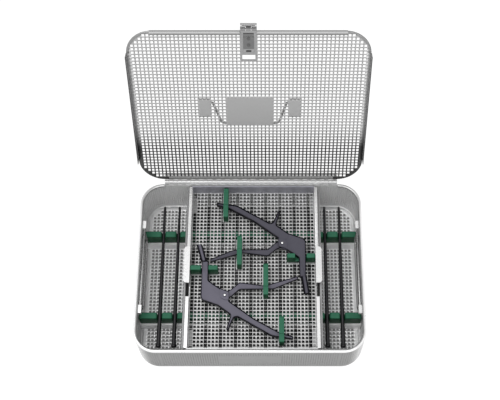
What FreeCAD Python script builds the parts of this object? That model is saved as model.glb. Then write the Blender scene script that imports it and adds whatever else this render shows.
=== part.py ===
import FreeCAD, Part
import math
import os
from FreeCAD import Placement, Rotation, Vector

# Instrument sterilization tray: a perforated steel basket with a hinged lid, an inner
# tray that lifts out, and silicone holders with the instruments that lie in them.
# X is to the right, Y to the back where the hinge is, Z is up, in millimetres.
# The origin is the centre of the face that the basket stands on.

doc = FreeCAD.newDocument("sterilization_tray")
sheet = doc.addObject("Spreadsheet::Sheet", "Sizes")

DRIVING = {
    # the basket
    "base_width": 299.0,
    "base_depth": 237.0,
    "rim_top": 70.0,
    "metal": 0.8,
    "corner_radius": 30.0,
    "corner_leg": 4.0,
    "rim_wire": 4.4,
    "rim_proud": 0.2,
    "running_gap": 0.4,
    # perforation: share of a cell that is open, cell size, blank margin
    "open_share": 0.73,
    "cell": 20.0,
    "wall_cell": 25.0,
    "margin": 9.0,
    "front_blank": 79.0,
    # piano hinge
    "hinge_short": 3.0,
    "hinge_drop": 0.2,
    "knuckle": 6.0,
    "knuckle_count": 12,
    "hinge_pin": 2.8,
    "pin_play": 0.05,
    "leaf_width": 11.0,
    # lid
    "lid_overhang": 2.7,
    "lid_open": 112.0,
    "lid_lift": 1.4,
    "lid_corner": 33.0,
    "flange_depth": 10.0,
    "flange_reach": 5.7,
    "flange_inset": 5.0,
    "blank_width": 61.0,
    "blank_length": 40.0,
    "blank_start": 101.6,
    # lid handle
    "lug_width": 15.4,
    "lug_length": 30.0,
    "lug_start": 110.6,
    "lug_inner": 51.0,
    "handle_wire": 3.6,
    "handle_standoff": 4.0,
    "handle_grip": 76.0,
    "handle_reach": 52.0,
    "handle_pivot": 131.0,
    # lid latch
    "latch_width": 20.0,
    "latch_length": 43.5,
    "latch_pin": 2.0,
    "latch_barrel": 4.2,
    "latch_flap": 6.8,
    # side handles
    "side_wire": 3.0,
    "side_axle": 3.6,
    "side_axis_in": 6.3,
    "side_axis_drop": 7.1,
    "side_span": 100.0,
    "side_drop": 31.5,
    "side_lug": 11.0,
    "side_lug_gap": 4.0,
    # rails and rod holders
    "rail_width": 13.0,
    "rail_height": 17.2,
    "rail_back": 56.5,
    "rail_front": -60.0,
    "silicone_width": 9.0,
    "rod_holder_height": 21.8,
    "rod_height": 34.0,
    "rod_back": 100.0,
    "rod_length": 202.0,
    "rod_back_size": 3.4,
    "rod_front_size": 5.8,
    "rod_knob": 7.4,
    "rod_chamfer": 0.8,
    "rod_left_out": 19.8,
    "rod_right_out": 15.1,
    "rod_pitch": 20.3,
    "block_crown": 5.5,
    "rod_knob_length": 4.0,
    # inner tray
    "insert_x": 3.25,
    "insert_y": 1.5,
    "insert_width": 166.5,
    "insert_length": 227.4,
    "insert_floor": 47.6,
    "insert_top": 66.5,
    "lip_width": 4.2,
    "grip_length": 51.0,
    "grip_reach": 8.0,
    "grip_corner": 4.0,
    "finger_notch": 19.0,
    "finger_notch_depth": 12.0,
    "divider_top": 60.0,
    "divider_gap": 1.0,
    "divider_flange": 2.5,
    "divider_corner": 6.0,
    "ledge_inset": 8.0,
    "ledge": 5.0,
    "ledge_length": 22.0,
    "lay_gap": 0.3,
    # instrument holders and instruments
    "holder_width": 6.5,
    "holder_top": 67.0,
    "holder_foot": 1.5,
    "tool_bottom": 55.0,
    "tool_thick": 7.0,
    "lever_bottom": 56.4,
    "lever_thick": 4.2,
    "lever_boss": 4.5,
    "screw_size": 3.2,
    "tube_size": 8.0,
    "tube_length": 23.0,
}

# Lengths that the sheet works out from the driving ones.
FOLLOWING = {
    "hinge_length": "=base_width - 2 * corner_radius - hinge_short",
    "lid_length": "=base_depth + knuckle / 2 + lid_overhang",
    "flange_front": "=base_width - 2 * lid_corner + flange_reach",
    "flange_side_start": "=lid_corner + flange_inset",
    "flange_side": "=lid_length - 2 * lid_corner - flange_inset",
}

ALIASES = DRIVING | FOLLOWING
for row, (alias, value) in enumerate(ALIASES.items(), 1):
    sheet.set(f"A{row}", alias.replace("_", " "))
    sheet.set(f"B{row}", str(value))
    sheet.setAlias(f"B{row}", alias)
doc.recompute()


class Size:
    """Reads a dimension back from the sheet."""

    def __getattr__(self, alias):
        return float(sheet.get(alias))


size = Size()
pieces = []

# Sizes that follow from the driving ones.
half_width = size.base_width / 2
half_depth = size.base_depth / 2
half_thick = size.rim_wire / 2
rim_height = size.rim_top - half_thick
rim_x = half_width + size.rim_proud - half_thick
rim_y = half_depth + size.rim_proud - half_thick
wall_top = size.rim_top - size.rim_wire
hinge_y = half_depth + size.knuckle / 2
hinge_z = size.rim_top - size.hinge_drop
lid_half = half_width + size.rim_proud + size.running_gap
lid_front = size.lid_length - size.metal
insert_left = size.insert_x - size.insert_width / 2
insert_right = size.insert_x + size.insert_width / 2
insert_front = size.insert_y - size.insert_length / 2
insert_back = size.insert_y + size.insert_length / 2
silicone_base = size.rail_height + size.metal
holder_floor = size.insert_floor + size.metal


def keep(piece, name):
    """Gives a finished sub-part its label and puts it on the list."""
    piece.Label = name
    pieces.append(piece)
    return piece


def bind(item, **formulas):
    """Ties properties to formulas of the sheet; x, y and z are the place."""
    for prop, formula in formulas.items():
        path = f".Placement.Base.{prop}" if prop in "xyz" else prop
        words = "".join(c if c.isalnum() or c == "_" else " " for c in formula).split()
        for word in sorted(set(words), key=len, reverse=True):
            if word in ALIASES:
                formula = replace_word(formula, word)
        item.setExpression(path, formula)
    return item


def replace_word(formula, word):
    """Puts the sheet's name before one alias in a formula."""
    out, here = "", 0
    while here < len(formula):
        end = here
        while end < len(formula) and (formula[end].isalnum() or formula[end] in "_."):
            end += 1
        token = formula[here:end]
        if token:
            out += "Sizes." + token if token == word else token
            here = end
        else:
            out += formula[here]
            here += 1
    return out


def box(name, length, width, height, x, y, z):
    """A block whose sides and low corner are formulas."""
    item = doc.addObject("Part::Box", name)
    return bind(item, Length=length, Width=width, Height=height, x=x, y=y, z=z)


def rod_along(name, axis, radius, height, x, y, z):
    """A cylinder along X, Y or Z that starts at x, y, z."""
    item = doc.addObject("Part::Cylinder", name)
    turn = {"X": Rotation(Vector(0, 1, 0), 90), "Y": Rotation(Vector(1, 0, 0), -90)}
    item.Placement = Placement(Vector(), turn.get(axis, Rotation()))
    return bind(item, Radius=radius, Height=height, x=x, y=y, z=z)


def fuse(name, parts):
    item = doc.addObject("Part::MultiFuse", name)
    item.Shapes = parts
    return item


def cut(name, base, tool):
    item = doc.addObject("Part::Cut", name)
    item.Base, item.Tool = base, tool
    return item


def group(name, parts):
    """Separate solids kept together in one sub-part."""
    item = doc.addObject("Part::Compound", name)
    item.Links = parts
    return item


def body(name):
    return doc.addObject("PartDesign::Body", name)


def sketch(owner, name, role, edges, offset="0 mm"):
    """A sketch on one of the body's own origin planes, moved along its normal."""
    flat = next(f for f in owner.Origin.OriginFeatures if f.Role == role)
    item = owner.newObject("Sketcher::SketchObject", name)
    item.AttachmentSupport = [(flat, "")]
    item.MapMode = "FlatFace"
    bind(item, **{"AttachmentOffset.Base.z": offset})
    item.addGeometry(edges)
    return item


def outline(points, closed=True):
    """Lines through the points, with an arc at each point that has a radius.

    A point is (x, y) or (x, y, radius). The arc touches both of its lines, so it
    starts radius / tan(half the corner's angle) before the point.
    """
    spots = [(Vector(p[0], p[1]), p[2] if len(p) > 2 else 0) for p in points]
    count = len(spots)
    ends, arcs = [], []
    for n, (spot, radius) in enumerate(spots):
        if not radius or (not closed and n in (0, count - 1)):
            ends.append((spot, spot))
            arcs.append(None)
            continue
        before = (spots[n - 1][0] - spot).normalize()
        after = (spots[(n + 1) % count][0] - spot).normalize()
        half = before.getAngle(after) / 2
        back = radius / math.tan(half)
        middle = (before + after).normalize() * (radius / math.sin(half) - radius)
        first, last = spot + before * back, spot + after * back
        ends.append((first, last))
        arcs.append(Part.Arc(first, spot + middle, last))
    edges = []
    for n in range(count):
        if arcs[n]:
            edges.append(arcs[n])
        if n < count - 1 or closed:
            start, stop = ends[n][1], ends[(n + 1) % count][0]
            if start.distanceToPoint(stop) > 1e-6:
                edges.append(Part.LineSegment(start, stop))
    return edges


def rectangle(x0, y0, x1, y1, radius=0):
    return outline([(x0, y0, radius), (x1, y0, radius), (x1, y1, radius), (x0, y1, radius)])


def pad(owner, name, profile, length, reverse=False):
    item = owner.newObject("PartDesign::Pad", name)
    item.Profile = profile
    item.Reversed = reverse
    return bind(item, Length=length)


def pocket(owner, name, profile, length, reverse=False):
    item = owner.newObject("PartDesign::Pocket", name)
    item.Profile = profile
    item.Reversed = reverse
    return bind(item, Length=length)


def centred(low, high, cell):
    """Middles of as many cells as fit between low and high."""
    count = int((high - low) / cell + 1e-6)
    start = (low + high - (count - 1) * cell) / 2
    return [start + n * cell for n in range(count)]


def grid(columns, rows, cell, blanks=()):
    """Square holes at every column and row that touch none of the blank zones."""
    reach = cell * size.open_share / 2
    edges = []
    for x in columns:
        for y in rows:
            hit = [
                b for b in blanks
                if x + reach > b[0] and x - reach < b[2] and y + reach > b[1] and y - reach < b[3]
            ]
            if not hit:
                edges += rectangle(x - reach, y - reach, x + reach, y + reach)
    return edges


def perforated(name, role, plate, holes, offset="0 mm", reverse=False):
    """A sheet of metal cut to an outline, with its field of holes punched through."""
    item = body(name)
    form = sketch(item, name + "_outline", role, plate, offset)
    pad(item, name + "_sheet", form, "metal", reverse)
    punch = sketch(item, name + "_holes", role, holes, offset)
    pocket(item, name + "_perforation", punch, "metal", not reverse)
    return keep(item, name)


# Basket floor: perforated plate with rounded corners, welded inside the walls.
floor_x = half_width - size.metal
floor_y = half_depth - size.metal
floor_field = size.margin + size.metal
perforated(
    "base_floor", "XY_Plane",
    rectangle(-floor_x, -floor_y, floor_x, floor_y, size.corner_radius - size.metal),
    grid(
        centred(-half_width + floor_field, half_width - floor_field, size.wall_cell),
        centred(-half_depth + floor_field, half_depth - floor_field, size.wall_cell),
        size.wall_cell,
    ),
)

# Four flat wall panels. The front one has a blank zone in its middle.
straight_x = half_width - size.corner_radius - size.corner_leg
straight_y = half_depth - size.corner_radius - size.corner_leg
wall_rows = centred(size.metal, wall_top, size.wall_cell)
front_blank = (-size.front_blank / 2, 0, size.front_blank / 2, wall_top)
back_top = hinge_z - size.knuckle / 4
perforated(
    "wall_front", "XZ_Plane", rectangle(-straight_x, 0, straight_x, wall_top),
    grid(centred(-straight_x, straight_x, size.wall_cell), wall_rows, size.wall_cell, [front_blank]),
    "base_depth / 2 - metal",
)
perforated(
    "wall_back", "XZ_Plane", rectangle(-straight_x, 0, straight_x, back_top),
    grid(centred(-straight_x, straight_x, size.wall_cell), wall_rows, size.wall_cell),
    "-base_depth / 2",
)
for name, offset in (("wall_left", "-base_width / 2"), ("wall_right", "base_width / 2 - metal")):
    perforated(
        name, "YZ_Plane", rectangle(-straight_y, 0, straight_y, wall_top),
        grid(centred(-straight_y, straight_y, size.wall_cell), wall_rows, size.wall_cell),
        offset,
    )

# Four rolled corner sections, each with a short straight leg to its welds. Their holes
# are punched square to the curve, at two turns of it in each row.
punch = size.wall_cell * size.open_share
punch_start = size.corner_radius * 0.8
PUNCH_TURNS = (22.5, 67.5)
for name, sx, sy in (
    ("corner_front_left", -1, -1), ("corner_front_right", 1, -1),
    ("corner_back_left", -1, 1), ("corner_back_right", 1, 1),
):
    inner_x, inner_y = half_width - size.metal, half_depth - size.metal
    corner = body(name + "_rolled")
    strip = outline([
        (sx * straight_x, sy * half_depth),
        (sx * half_width, sy * half_depth, size.corner_radius),
        (sx * half_width, sy * straight_y),
        (sx * inner_x, sy * straight_y),
        (sx * inner_x, sy * inner_y, size.corner_radius - size.metal),
        (sx * straight_x, sy * inner_y),
    ])
    pad(corner, name + "_sheet", sketch(corner, name + "_strip", "XY_Plane", strip),
        "rim_top - rim_wire")
    middle = Vector(sx * (half_width - size.corner_radius), sy * (half_depth - size.corner_radius), 0)
    punches = []
    for turn in PUNCH_TURNS:
        toward = math.atan2(sy * math.sin(math.radians(turn)), sx * math.cos(math.radians(turn)))
        facing = Placement(middle, Rotation(Vector(0, 0, 1), math.degrees(toward)))
        for z in wall_rows:
            hole = box(f"{name}_hole{len(punches)}", "corner_radius * 0.4", "wall_cell * open_share",
                       "wall_cell * open_share", "0 mm", "0 mm", "0 mm")
            for axis in "xyz":
                hole.setExpression(f".Placement.Base.{axis}", None)
            hole.Placement = facing * Placement(Vector(punch_start, -punch / 2, z - punch / 2), Rotation())
            punches.append(hole)
    keep(cut(name, corner, fuse(name + "_perforation", punches)), name)

# Rolled rim: one round wire bead round the mouth, open at the back for the hinge.
rim = body("base_rim")
rim_bend = size.corner_radius - half_thick
route = sketch(rim, "rim_route", "XY_Plane", outline([
    (size.hinge_length / 2, rim_y),
    (rim_x, rim_y, rim_bend),
    (rim_x, -rim_y, rim_bend),
    (-rim_x, -rim_y, rim_bend),
    (-rim_x, rim_y, rim_bend),
    (-size.hinge_length / 2, rim_y),
], closed=False), "rim_top - rim_wire / 2")
section = sketch(rim, "rim_section", "YZ_Plane",
                 [Part.Circle(Vector(rim_y, rim_height, 0), Vector(0, 0, 1), half_thick)],
                 "hinge_length / 2")
bead = rim.newObject("PartDesign::AdditivePipe", "rim_bead")
bead.Profile = section
bead.Spine = (route, [])
keep(rim, "base_rim")


# Piano hinge: two leaves with alternate knuckles on one pin.
def hinge_leaf(name, first, strip, tab):
    """A leaf with every second knuckle; strip and tab are (y, z, width, height)."""
    pitch = "hinge_length / knuckle_count"
    left = "-hinge_length / 2"
    parts = [box(name + "_strip", "hinge_length", strip[2], strip[3], left, strip[0], strip[1])]
    for n in range(first, int(size.knuckle_count), 2):
        start = f"{left} + {n} * {pitch} + running_gap / 2"
        length = f"{pitch} - running_gap"
        parts.append(box(f"{name}_tab{n}", length, tab[2], tab[3], start, tab[0], tab[1]))
        parts.append(rod_along(f"{name}_knuckle{n}", "X", "knuckle / 2", length, start, "0 mm", "0 mm"))
    bore = rod_along(name + "_bore", "X", "hinge_pin / 2 + pin_play", "hinge_length", left,
                     "0 mm", "0 mm")
    return cut(name, fuse(name + "_solid", parts), bore)


at_hinge = dict(y="base_depth / 2 + knuckle / 2", z="rim_top - hinge_drop")
base_leaf = hinge_leaf(
    "hinge_base_leaf", 0,
    ("-knuckle / 2", "-knuckle / 2 - running_gap - leaf_width", "metal", "leaf_width"),
    ("-knuckle / 2", "-knuckle / 2 - running_gap", "metal", "knuckle / 2 + running_gap"),
)
keep(bind(base_leaf, **at_hinge), "hinge_base_leaf")
pin = rod_along("hinge_pin", "X", "hinge_pin / 2", "hinge_length", "-hinge_length / 2",
                at_hinge["y"], at_hinge["z"])
keep(pin, "hinge_pin")


def on_lid(item, name):
    """Turns a piece that is modelled on the closed lid about the hinge axis."""
    item.Placement = Placement(Vector(), Rotation(Vector(-1, 0, 0), size.lid_open))
    item.setExpression(".Placement.Rotation.Angle", "Sizes.lid_open * 1 deg")
    return keep(bind(item, **at_hinge), name)


# Pieces of the lid are modelled closed, with the hinge axis as their own origin:
# the lid lies towards -Y and its inner face looks down.
lid_leaf = hinge_leaf(
    "hinge_lid_leaf", 1,
    ("-knuckle / 2 - running_gap - leaf_width", "knuckle / 2 - metal", "leaf_width", "metal"),
    ("-knuckle / 2 - running_gap", "knuckle / 2 - metal", "knuckle / 2 + running_gap", "metal"),
)
on_lid(lid_leaf, "hinge_lid_leaf")

# Lid panel: perforated plate with blank zones for the handle lugs and a label.
lid_back = size.knuckle / 2 + 2 * size.running_gap
lug_outer = size.lug_inner + size.lug_width
lid_blanks = [
    (-size.blank_width / 2, -size.blank_start - size.blank_length, size.blank_width / 2, -size.blank_start),
    (-lug_outer, -size.lug_start - size.lug_length, -size.lug_inner, -size.lug_start),
    (size.lug_inner, -size.lug_start - size.lug_length, lug_outer, -size.lug_start),
    (-size.latch_width / 2, -lid_front, size.latch_width / 2, -lid_front + size.latch_length),
]
panel = body("lid_panel")
pad(panel, "lid_sheet", sketch(
    panel, "lid_outline", "XY_Plane",
    rectangle(-lid_half, -lid_front, lid_half, -lid_back, size.lid_corner), "lid_lift",
), "metal")
pocket(panel, "lid_perforation", sketch(panel, "lid_holes", "XY_Plane", grid(
    centred(-lid_half + size.margin, lid_half - size.margin, size.cell),
    centred(-lid_front + size.margin, -lid_back - size.margin, size.cell),
    size.cell, lid_blanks,
), "lid_lift"), "metal", True)
on_lid(panel, "lid_panel")

# Lid flanges: turned-down edges on the straight stretches only. The front one has a
# gap in the middle where the latch passes.
flange_top = "lid_lift + metal - flange_depth"
front_half = "(flange_front - latch_width) / 2 - running_gap"
front_flanges = [
    box("flange_front_a", front_half, "metal", "flange_depth", "-flange_front / 2",
        "-lid_length", flange_top),
    box("flange_front_b", front_half, "metal", "flange_depth", "latch_width / 2 + running_gap",
        "-lid_length", flange_top),
]
on_lid(group("lid_flange_front", front_flanges), "lid_flange_front")
for name, x in (
    ("lid_flange_left", "-base_width / 2 - rim_proud - running_gap - metal"),
    ("lid_flange_right", "base_width / 2 + rim_proud + running_gap"),
):
    edge = box(name + "_strip", "metal", "flange_side", "flange_depth", x,
               "-flange_side_start - flange_side", flange_top)
    on_lid(group(name, [edge]), name)

# Latch: a plate riveted inside the lid's front edge, with a window; a barrel in front
# of the edge carries the pin of the flap, whose lip hooks under the basket's rim.
barrel_y = "-lid_length - latch_barrel / 2"
barrel_z = "lid_lift + metal / 2"
plate_z = "lid_lift - metal"
latch_plate = cut(
    "latch_plate_open",
    box("latch_plate_blank", "latch_width", "latch_length + latch_barrel / 2", "metal",
        "-latch_width / 2", "-lid_length - latch_barrel / 2", plate_z),
    box("latch_window", "latch_width * 0.8", "latch_length * 0.15", "metal",
        "-latch_width * 0.4", "-lid_length + latch_length * 0.8", plate_z),
)
latch_tongue = box("latch_tongue", "latch_width * 0.66", "latch_length * 0.5", "metal",
                   "-latch_width * 0.33", "-lid_length + rim_wire * 2", "lid_lift - 2 * metal")
eye = "latch_width / 3 - running_gap"
barrels = [
    rod_along("latch_eye_a", "X", "latch_barrel / 2", eye, "-latch_width / 2", barrel_y, barrel_z),
    rod_along("latch_eye_b", "X", "latch_barrel / 2", eye, "latch_width / 6 + running_gap",
              barrel_y, barrel_z),
]
latch_bore = rod_along("latch_bore", "X", "latch_pin / 2 + pin_play", "latch_width",
                       "-latch_width / 2", barrel_y, barrel_z)
latch_gap = box("latch_gap", "latch_width / 3 + 2 * running_gap", "latch_barrel + running_gap",
                "latch_barrel", "-latch_width / 6 - running_gap",
                "-lid_length - latch_barrel - running_gap / 2", "lid_lift - latch_barrel / 2")
latch_plate = cut(
    "latch_plate",
    cut("latch_plate_notched",
        fuse("latch_plate_solid", [latch_plate, latch_tongue] + barrels), latch_gap),
    latch_bore,
)
on_lid(latch_plate, "latch_plate")
rivets = [
    rod_along(f"latch_rivet_{n}", "Z", "latch_pin", "metal",
              "0 mm", f"-lid_length + latch_length * {share}", "lid_lift - 3 * metal")
    for n, share in enumerate((0.25, 0.46))
]
on_lid(group("latch_rivets", rivets), "latch_rivets")
latch_pin = rod_along("latch_pin_bar", "X", "latch_pin / 2", "latch_width", "-latch_width / 2",
                      barrel_y, barrel_z)
on_lid(group("latch_pin", [latch_pin]), "latch_pin")
flap_eye = rod_along("flap_eye", "X", "latch_barrel / 2", "latch_width / 3 - running_gap",
                     "-latch_width / 6 + running_gap / 2", barrel_y, barrel_z)
flap_plate = box("flap_plate", "latch_width", "latch_flap - latch_barrel / 2", "metal",
                 "-latch_width / 2", "-lid_length - latch_barrel - latch_flap + latch_barrel / 2",
                 "lid_lift + metal / 2 + latch_barrel / 2 - metal")
flap_neck = box("flap_neck", "latch_width / 3 - running_gap", "latch_barrel / 2 + running_gap",
                "metal", "-latch_width / 6 + running_gap / 2",
                "-lid_length - latch_barrel - running_gap",
                "lid_lift + metal / 2 + latch_barrel / 2 - metal")
flap_slot = box("flap_slot", "latch_width * 0.8", "latch_flap * 0.2", "metal * 3",
                "-latch_width * 0.4", "-lid_length - latch_barrel - metal - latch_flap * 0.2",
                "lid_lift")
flap_bore = rod_along("flap_bore", "X", "latch_pin / 2 + pin_play", "latch_width",
                      "-latch_width / 2", barrel_y, barrel_z)
flap = cut("latch_flap_open", fuse("latch_flap_solid", [flap_eye, flap_plate, flap_neck]), flap_slot)
on_lid(cut("latch_flap", flap, flap_bore), "latch_flap")

# Lid handle: a bent wire bail that hangs from two lugs on the lid's outer face.
lug_z = "lid_lift + metal"
for name, side in (("handle_lug_left", -1), ("handle_lug_right", 1)):
    low = "-lug_inner - lug_width" if side < 0 else "lug_inner"
    foot = box(name + "_foot", "lug_width", "lug_length", "metal", low,
               "-lug_start - lug_length", lug_z)
    ear_x = "-lug_inner - 2 * metal" if side < 0 else "lug_inner"
    ear = box(name + "_ear", "2 * metal", "handle_wire * 2.4", "handle_standoff + handle_wire",
              ear_x, "-handle_pivot - handle_wire * 1.2", lug_z)
    hole = rod_along(name + "_hole", "X", "handle_wire / 2 + pin_play", "lug_width",
                     low, "-handle_pivot", "lid_lift + metal + handle_standoff")
    on_lid(cut(name, fuse(name + "_solid", [foot, ear]), hole), name)

# The bail is drawn hanging: its pivot axis is its own origin, the grip is below.
bail = body("lid_handle")
grip = size.handle_grip / 2
stub = size.lug_inner + 2 * size.metal + size.running_gap
bail_route = sketch(bail, "lid_handle_route", "XZ_Plane", outline([
    (-stub, 0), (-size.lug_inner + size.handle_wire, 0, size.handle_wire * 0.9),
    (-grip, -size.handle_reach, size.handle_wire * 2),
    (grip, -size.handle_reach, size.handle_wire * 2),
    (size.lug_inner - size.handle_wire, 0, size.handle_wire * 0.9), (stub, 0),
], closed=False))
bail_section = sketch(bail, "lid_handle_section", "YZ_Plane",
                      [Part.Circle(Vector(0, 0, 0), Vector(0, 0, 1), size.handle_wire / 2)],
                      "-lug_inner - 2 * metal - running_gap")
bail_wire = bail.newObject("PartDesign::AdditivePipe", "lid_handle_wire")
bail_wire.Profile = bail_section
bail_wire.Spine = (bail_route, [])
angle = math.radians(size.lid_open)
out = size.lid_lift + size.metal + size.handle_standoff
bail.Placement = Placement(Vector(
    0,
    hinge_y - size.handle_pivot * math.cos(angle) + out * math.sin(angle),
    hinge_z + size.handle_pivot * math.sin(angle) + out * math.cos(angle),
), Rotation())
keep(bail, "lid_handle")

# Side handles: a welded wire loop hangs from two lugs below the rim on each side.
for name, side in (("left", -1), ("right", 1)):
    lug_x = "-base_width / 2 + metal" if side < 0 else "base_width / 2 - side_axis_in - side_wire * 0.75"
    lugs = []
    for end, y in (("front", "-side_span / 2 - side_lug_gap - side_lug"),
                   ("back", "side_span / 2 + side_lug_gap")):
        block = box(f"side_lug_{name}_{end}_block", "side_axis_in + side_wire * 0.75 - metal",
                    "side_lug", "side_wire * 1.8", lug_x, y, "rim_top - side_axis_drop - side_wire * 0.9")
        hole = rod_along(f"side_lug_{name}_{end}_hole", "Y", "side_axle / 2 + pin_play", "side_lug",
                         f"{side} * (base_width / 2 - side_axis_in)", y, "rim_top - side_axis_drop")
        lugs.append(cut(f"side_lug_{name}_{end}", block, hole))
    keep(group(f"side_lugs_{name}", lugs), f"side_lugs_{name}")
    loop = body(f"side_handle_{name}")
    leg = size.side_span / 2
    bend = size.side_wire * 2
    loop_route = sketch(loop, f"side_route_{name}", "YZ_Plane", outline([
        (-leg, 0), (-leg, -size.side_drop, bend), (leg, -size.side_drop, bend), (leg, 0),
    ], closed=False))
    loop_section = sketch(loop, f"side_section_{name}", "XY_Plane",
                          [Part.Circle(Vector(0, -leg, 0), Vector(0, 0, 1), size.side_wire / 2)])
    wire = loop.newObject("PartDesign::AdditivePipe", f"side_wire_{name}")
    wire.Profile = loop_section
    wire.Spine = (loop_route, [])
    axle_round = sketch(loop, f"side_axle_round_{name}", "XZ_Plane",
                        [Part.Circle(Vector(0, 0, 0), Vector(0, 0, 1), size.side_axle / 2)])
    axle = pad(loop, f"side_axle_{name}", axle_round, "side_span + 2 * (side_lug_gap + side_lug)")
    axle.Midplane = True
    bind(loop, x=f"{side} * (base_width / 2 - side_axis_in)", z="rim_top - side_axis_drop")
    keep(loop, f"side_handle_{name}")

# Cross rails: bent channels on the floor that carry the silicone rod holders.
rail_half = "base_width / 2 - metal - 2 * running_gap"
for name, y in (("cross_rail_back", "rail_back"), ("cross_rail_front", "rail_front")):
    blank = box(name + "_blank", f"2 * ({rail_half})", "rail_width", "rail_height",
                f"-({rail_half})", f"{y} - rail_width / 2", "metal")
    hollow = box(name + "_hollow", f"2 * ({rail_half})", "rail_width - metal",
                 "rail_height - 2 * metal", f"-({rail_half})",
                 f"{y} - rail_width / 2 + metal", "2 * metal")
    keep(cut(name, blank, hollow), name)

rod_near_left = insert_left - size.rod_left_out
rod_near_right = insert_right + size.rod_right_out
ROD_X = {
    "rod_far_left": rod_near_left - size.rod_pitch, "rod_near_left": rod_near_left,
    "rod_near_right": rod_near_right, "rod_far_right": rod_near_right + size.rod_pitch,
}


def rod_radius(y):
    """The rods taper evenly from their back end to their front end."""
    share = (size.rod_back - y) / size.rod_length
    return (size.rod_back_size + (size.rod_front_size - size.rod_back_size) * share) / 2


# Silicone rod holders: full-width bars with a rounded block on each side of a slot.
holder_half = half_width - size.metal - 3 * size.running_gap
for name, y, y_name in (
    ("rod_holder_back", size.rail_back, "rail_back"), ("rod_holder_front", size.rail_front, "rail_front"),
):
    top = silicone_base + size.rod_holder_height
    radius = rod_radius(y - size.silicone_width / 2) + size.lay_gap
    crown = size.block_crown
    profile = [(-holder_half, silicone_base), (holder_half, silicone_base), (holder_half, top, crown)]
    for x in sorted(ROD_X.values(), reverse=True):
        profile += [
            (x + radius, top, crown * 0.6), (x + radius, size.rod_height - radius, radius * 0.95),
            (x - radius, size.rod_height - radius, radius * 0.95), (x - radius, top, crown * 0.6),
        ]
    profile.append((-holder_half, top, crown))
    holder = body(name)
    comb = sketch(holder, name + "_comb", "XZ_Plane", outline(profile), f"-{y_name}")
    bar = pad(holder, name + "_bar", comb, "silicone_width")
    bar.Midplane = True
    keep(holder, name)

# Four rods: turned from round bar, tapered, with a knob at the front end.
for name, x in ROD_X.items():
    rod = body(name)
    knob, chamfer = size.rod_knob / 2, size.rod_chamfer
    half_profile = sketch(rod, name + "_profile", "YZ_Plane", outline([
        (0, 0), (0, size.rod_back_size / 2 - chamfer), (-chamfer, size.rod_back_size / 2),
        (-size.rod_length + size.rod_knob_length, size.rod_front_size / 2),
        (-size.rod_length + size.rod_knob_length, knob),
        (-size.rod_length + chamfer, knob), (-size.rod_length, knob - chamfer), (-size.rod_length, 0),
    ]))
    turned = rod.newObject("PartDesign::Revolution", name + "_turned")
    turned.Profile = half_profile
    turned.ReferenceAxis = (half_profile, ["H_Axis"])
    turned.Angle = 360
    rod.Placement.Base.x = x
    bind(rod, y="rod_back", z="rod_height")
    keep(rod, name)

# Dividers: upright sheets beside the inner tray, with ledges that carry it and
# openings where the cross rails pass.
gate_half = size.rail_width / 2 + size.running_gap
gate_top = silicone_base + size.rod_holder_height + size.running_gap
for name, side in (("divider_left", -1), ("divider_right", 1)):
    face = insert_left - size.lip_width - size.divider_gap if side < 0 else \
        insert_right + size.lip_width + size.divider_gap
    item = body(name)
    bend = size.divider_corner
    gates = []
    for y in (size.rail_front, size.rail_back):
        gates += [(y - gate_half, size.metal), (y - gate_half, gate_top, 2),
                  (y + gate_half, gate_top, 2), (y + gate_half, size.metal)]
    reach = floor_y - 3 * size.running_gap
    side_view = outline([(-reach, size.metal)] + gates + [
        (reach, size.metal), (reach, size.divider_top, bend), (-reach, size.divider_top, bend),
    ])
    upright = sketch(item, name + "_side", "YZ_Plane", side_view)
    pad(item, name + "_sheet", upright, "metal", side < 0)
    lip = sketch(item, name + "_lip", "YZ_Plane",
                 rectangle(-reach + bend, size.divider_top - size.metal, reach - bend,
                           size.divider_top))
    pad(item, name + "_flange", lip, "divider_flange", side < 0)
    ledge_top = size.insert_floor - size.lay_gap
    ledge_back = insert_back - size.ledge_inset - size.ledge_length
    for n, y in enumerate((insert_front + size.ledge_inset, ledge_back)):
        tab = sketch(item, f"{name}_tab{n}", "YZ_Plane",
                     rectangle(y, ledge_top - size.metal, y + size.ledge_length, ledge_top))
        pad(item, f"{name}_ledge{n}", tab, "lip_width + divider_gap + ledge", side > 0)
    item.Placement.Base.x = face
    keep(item, name)

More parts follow.
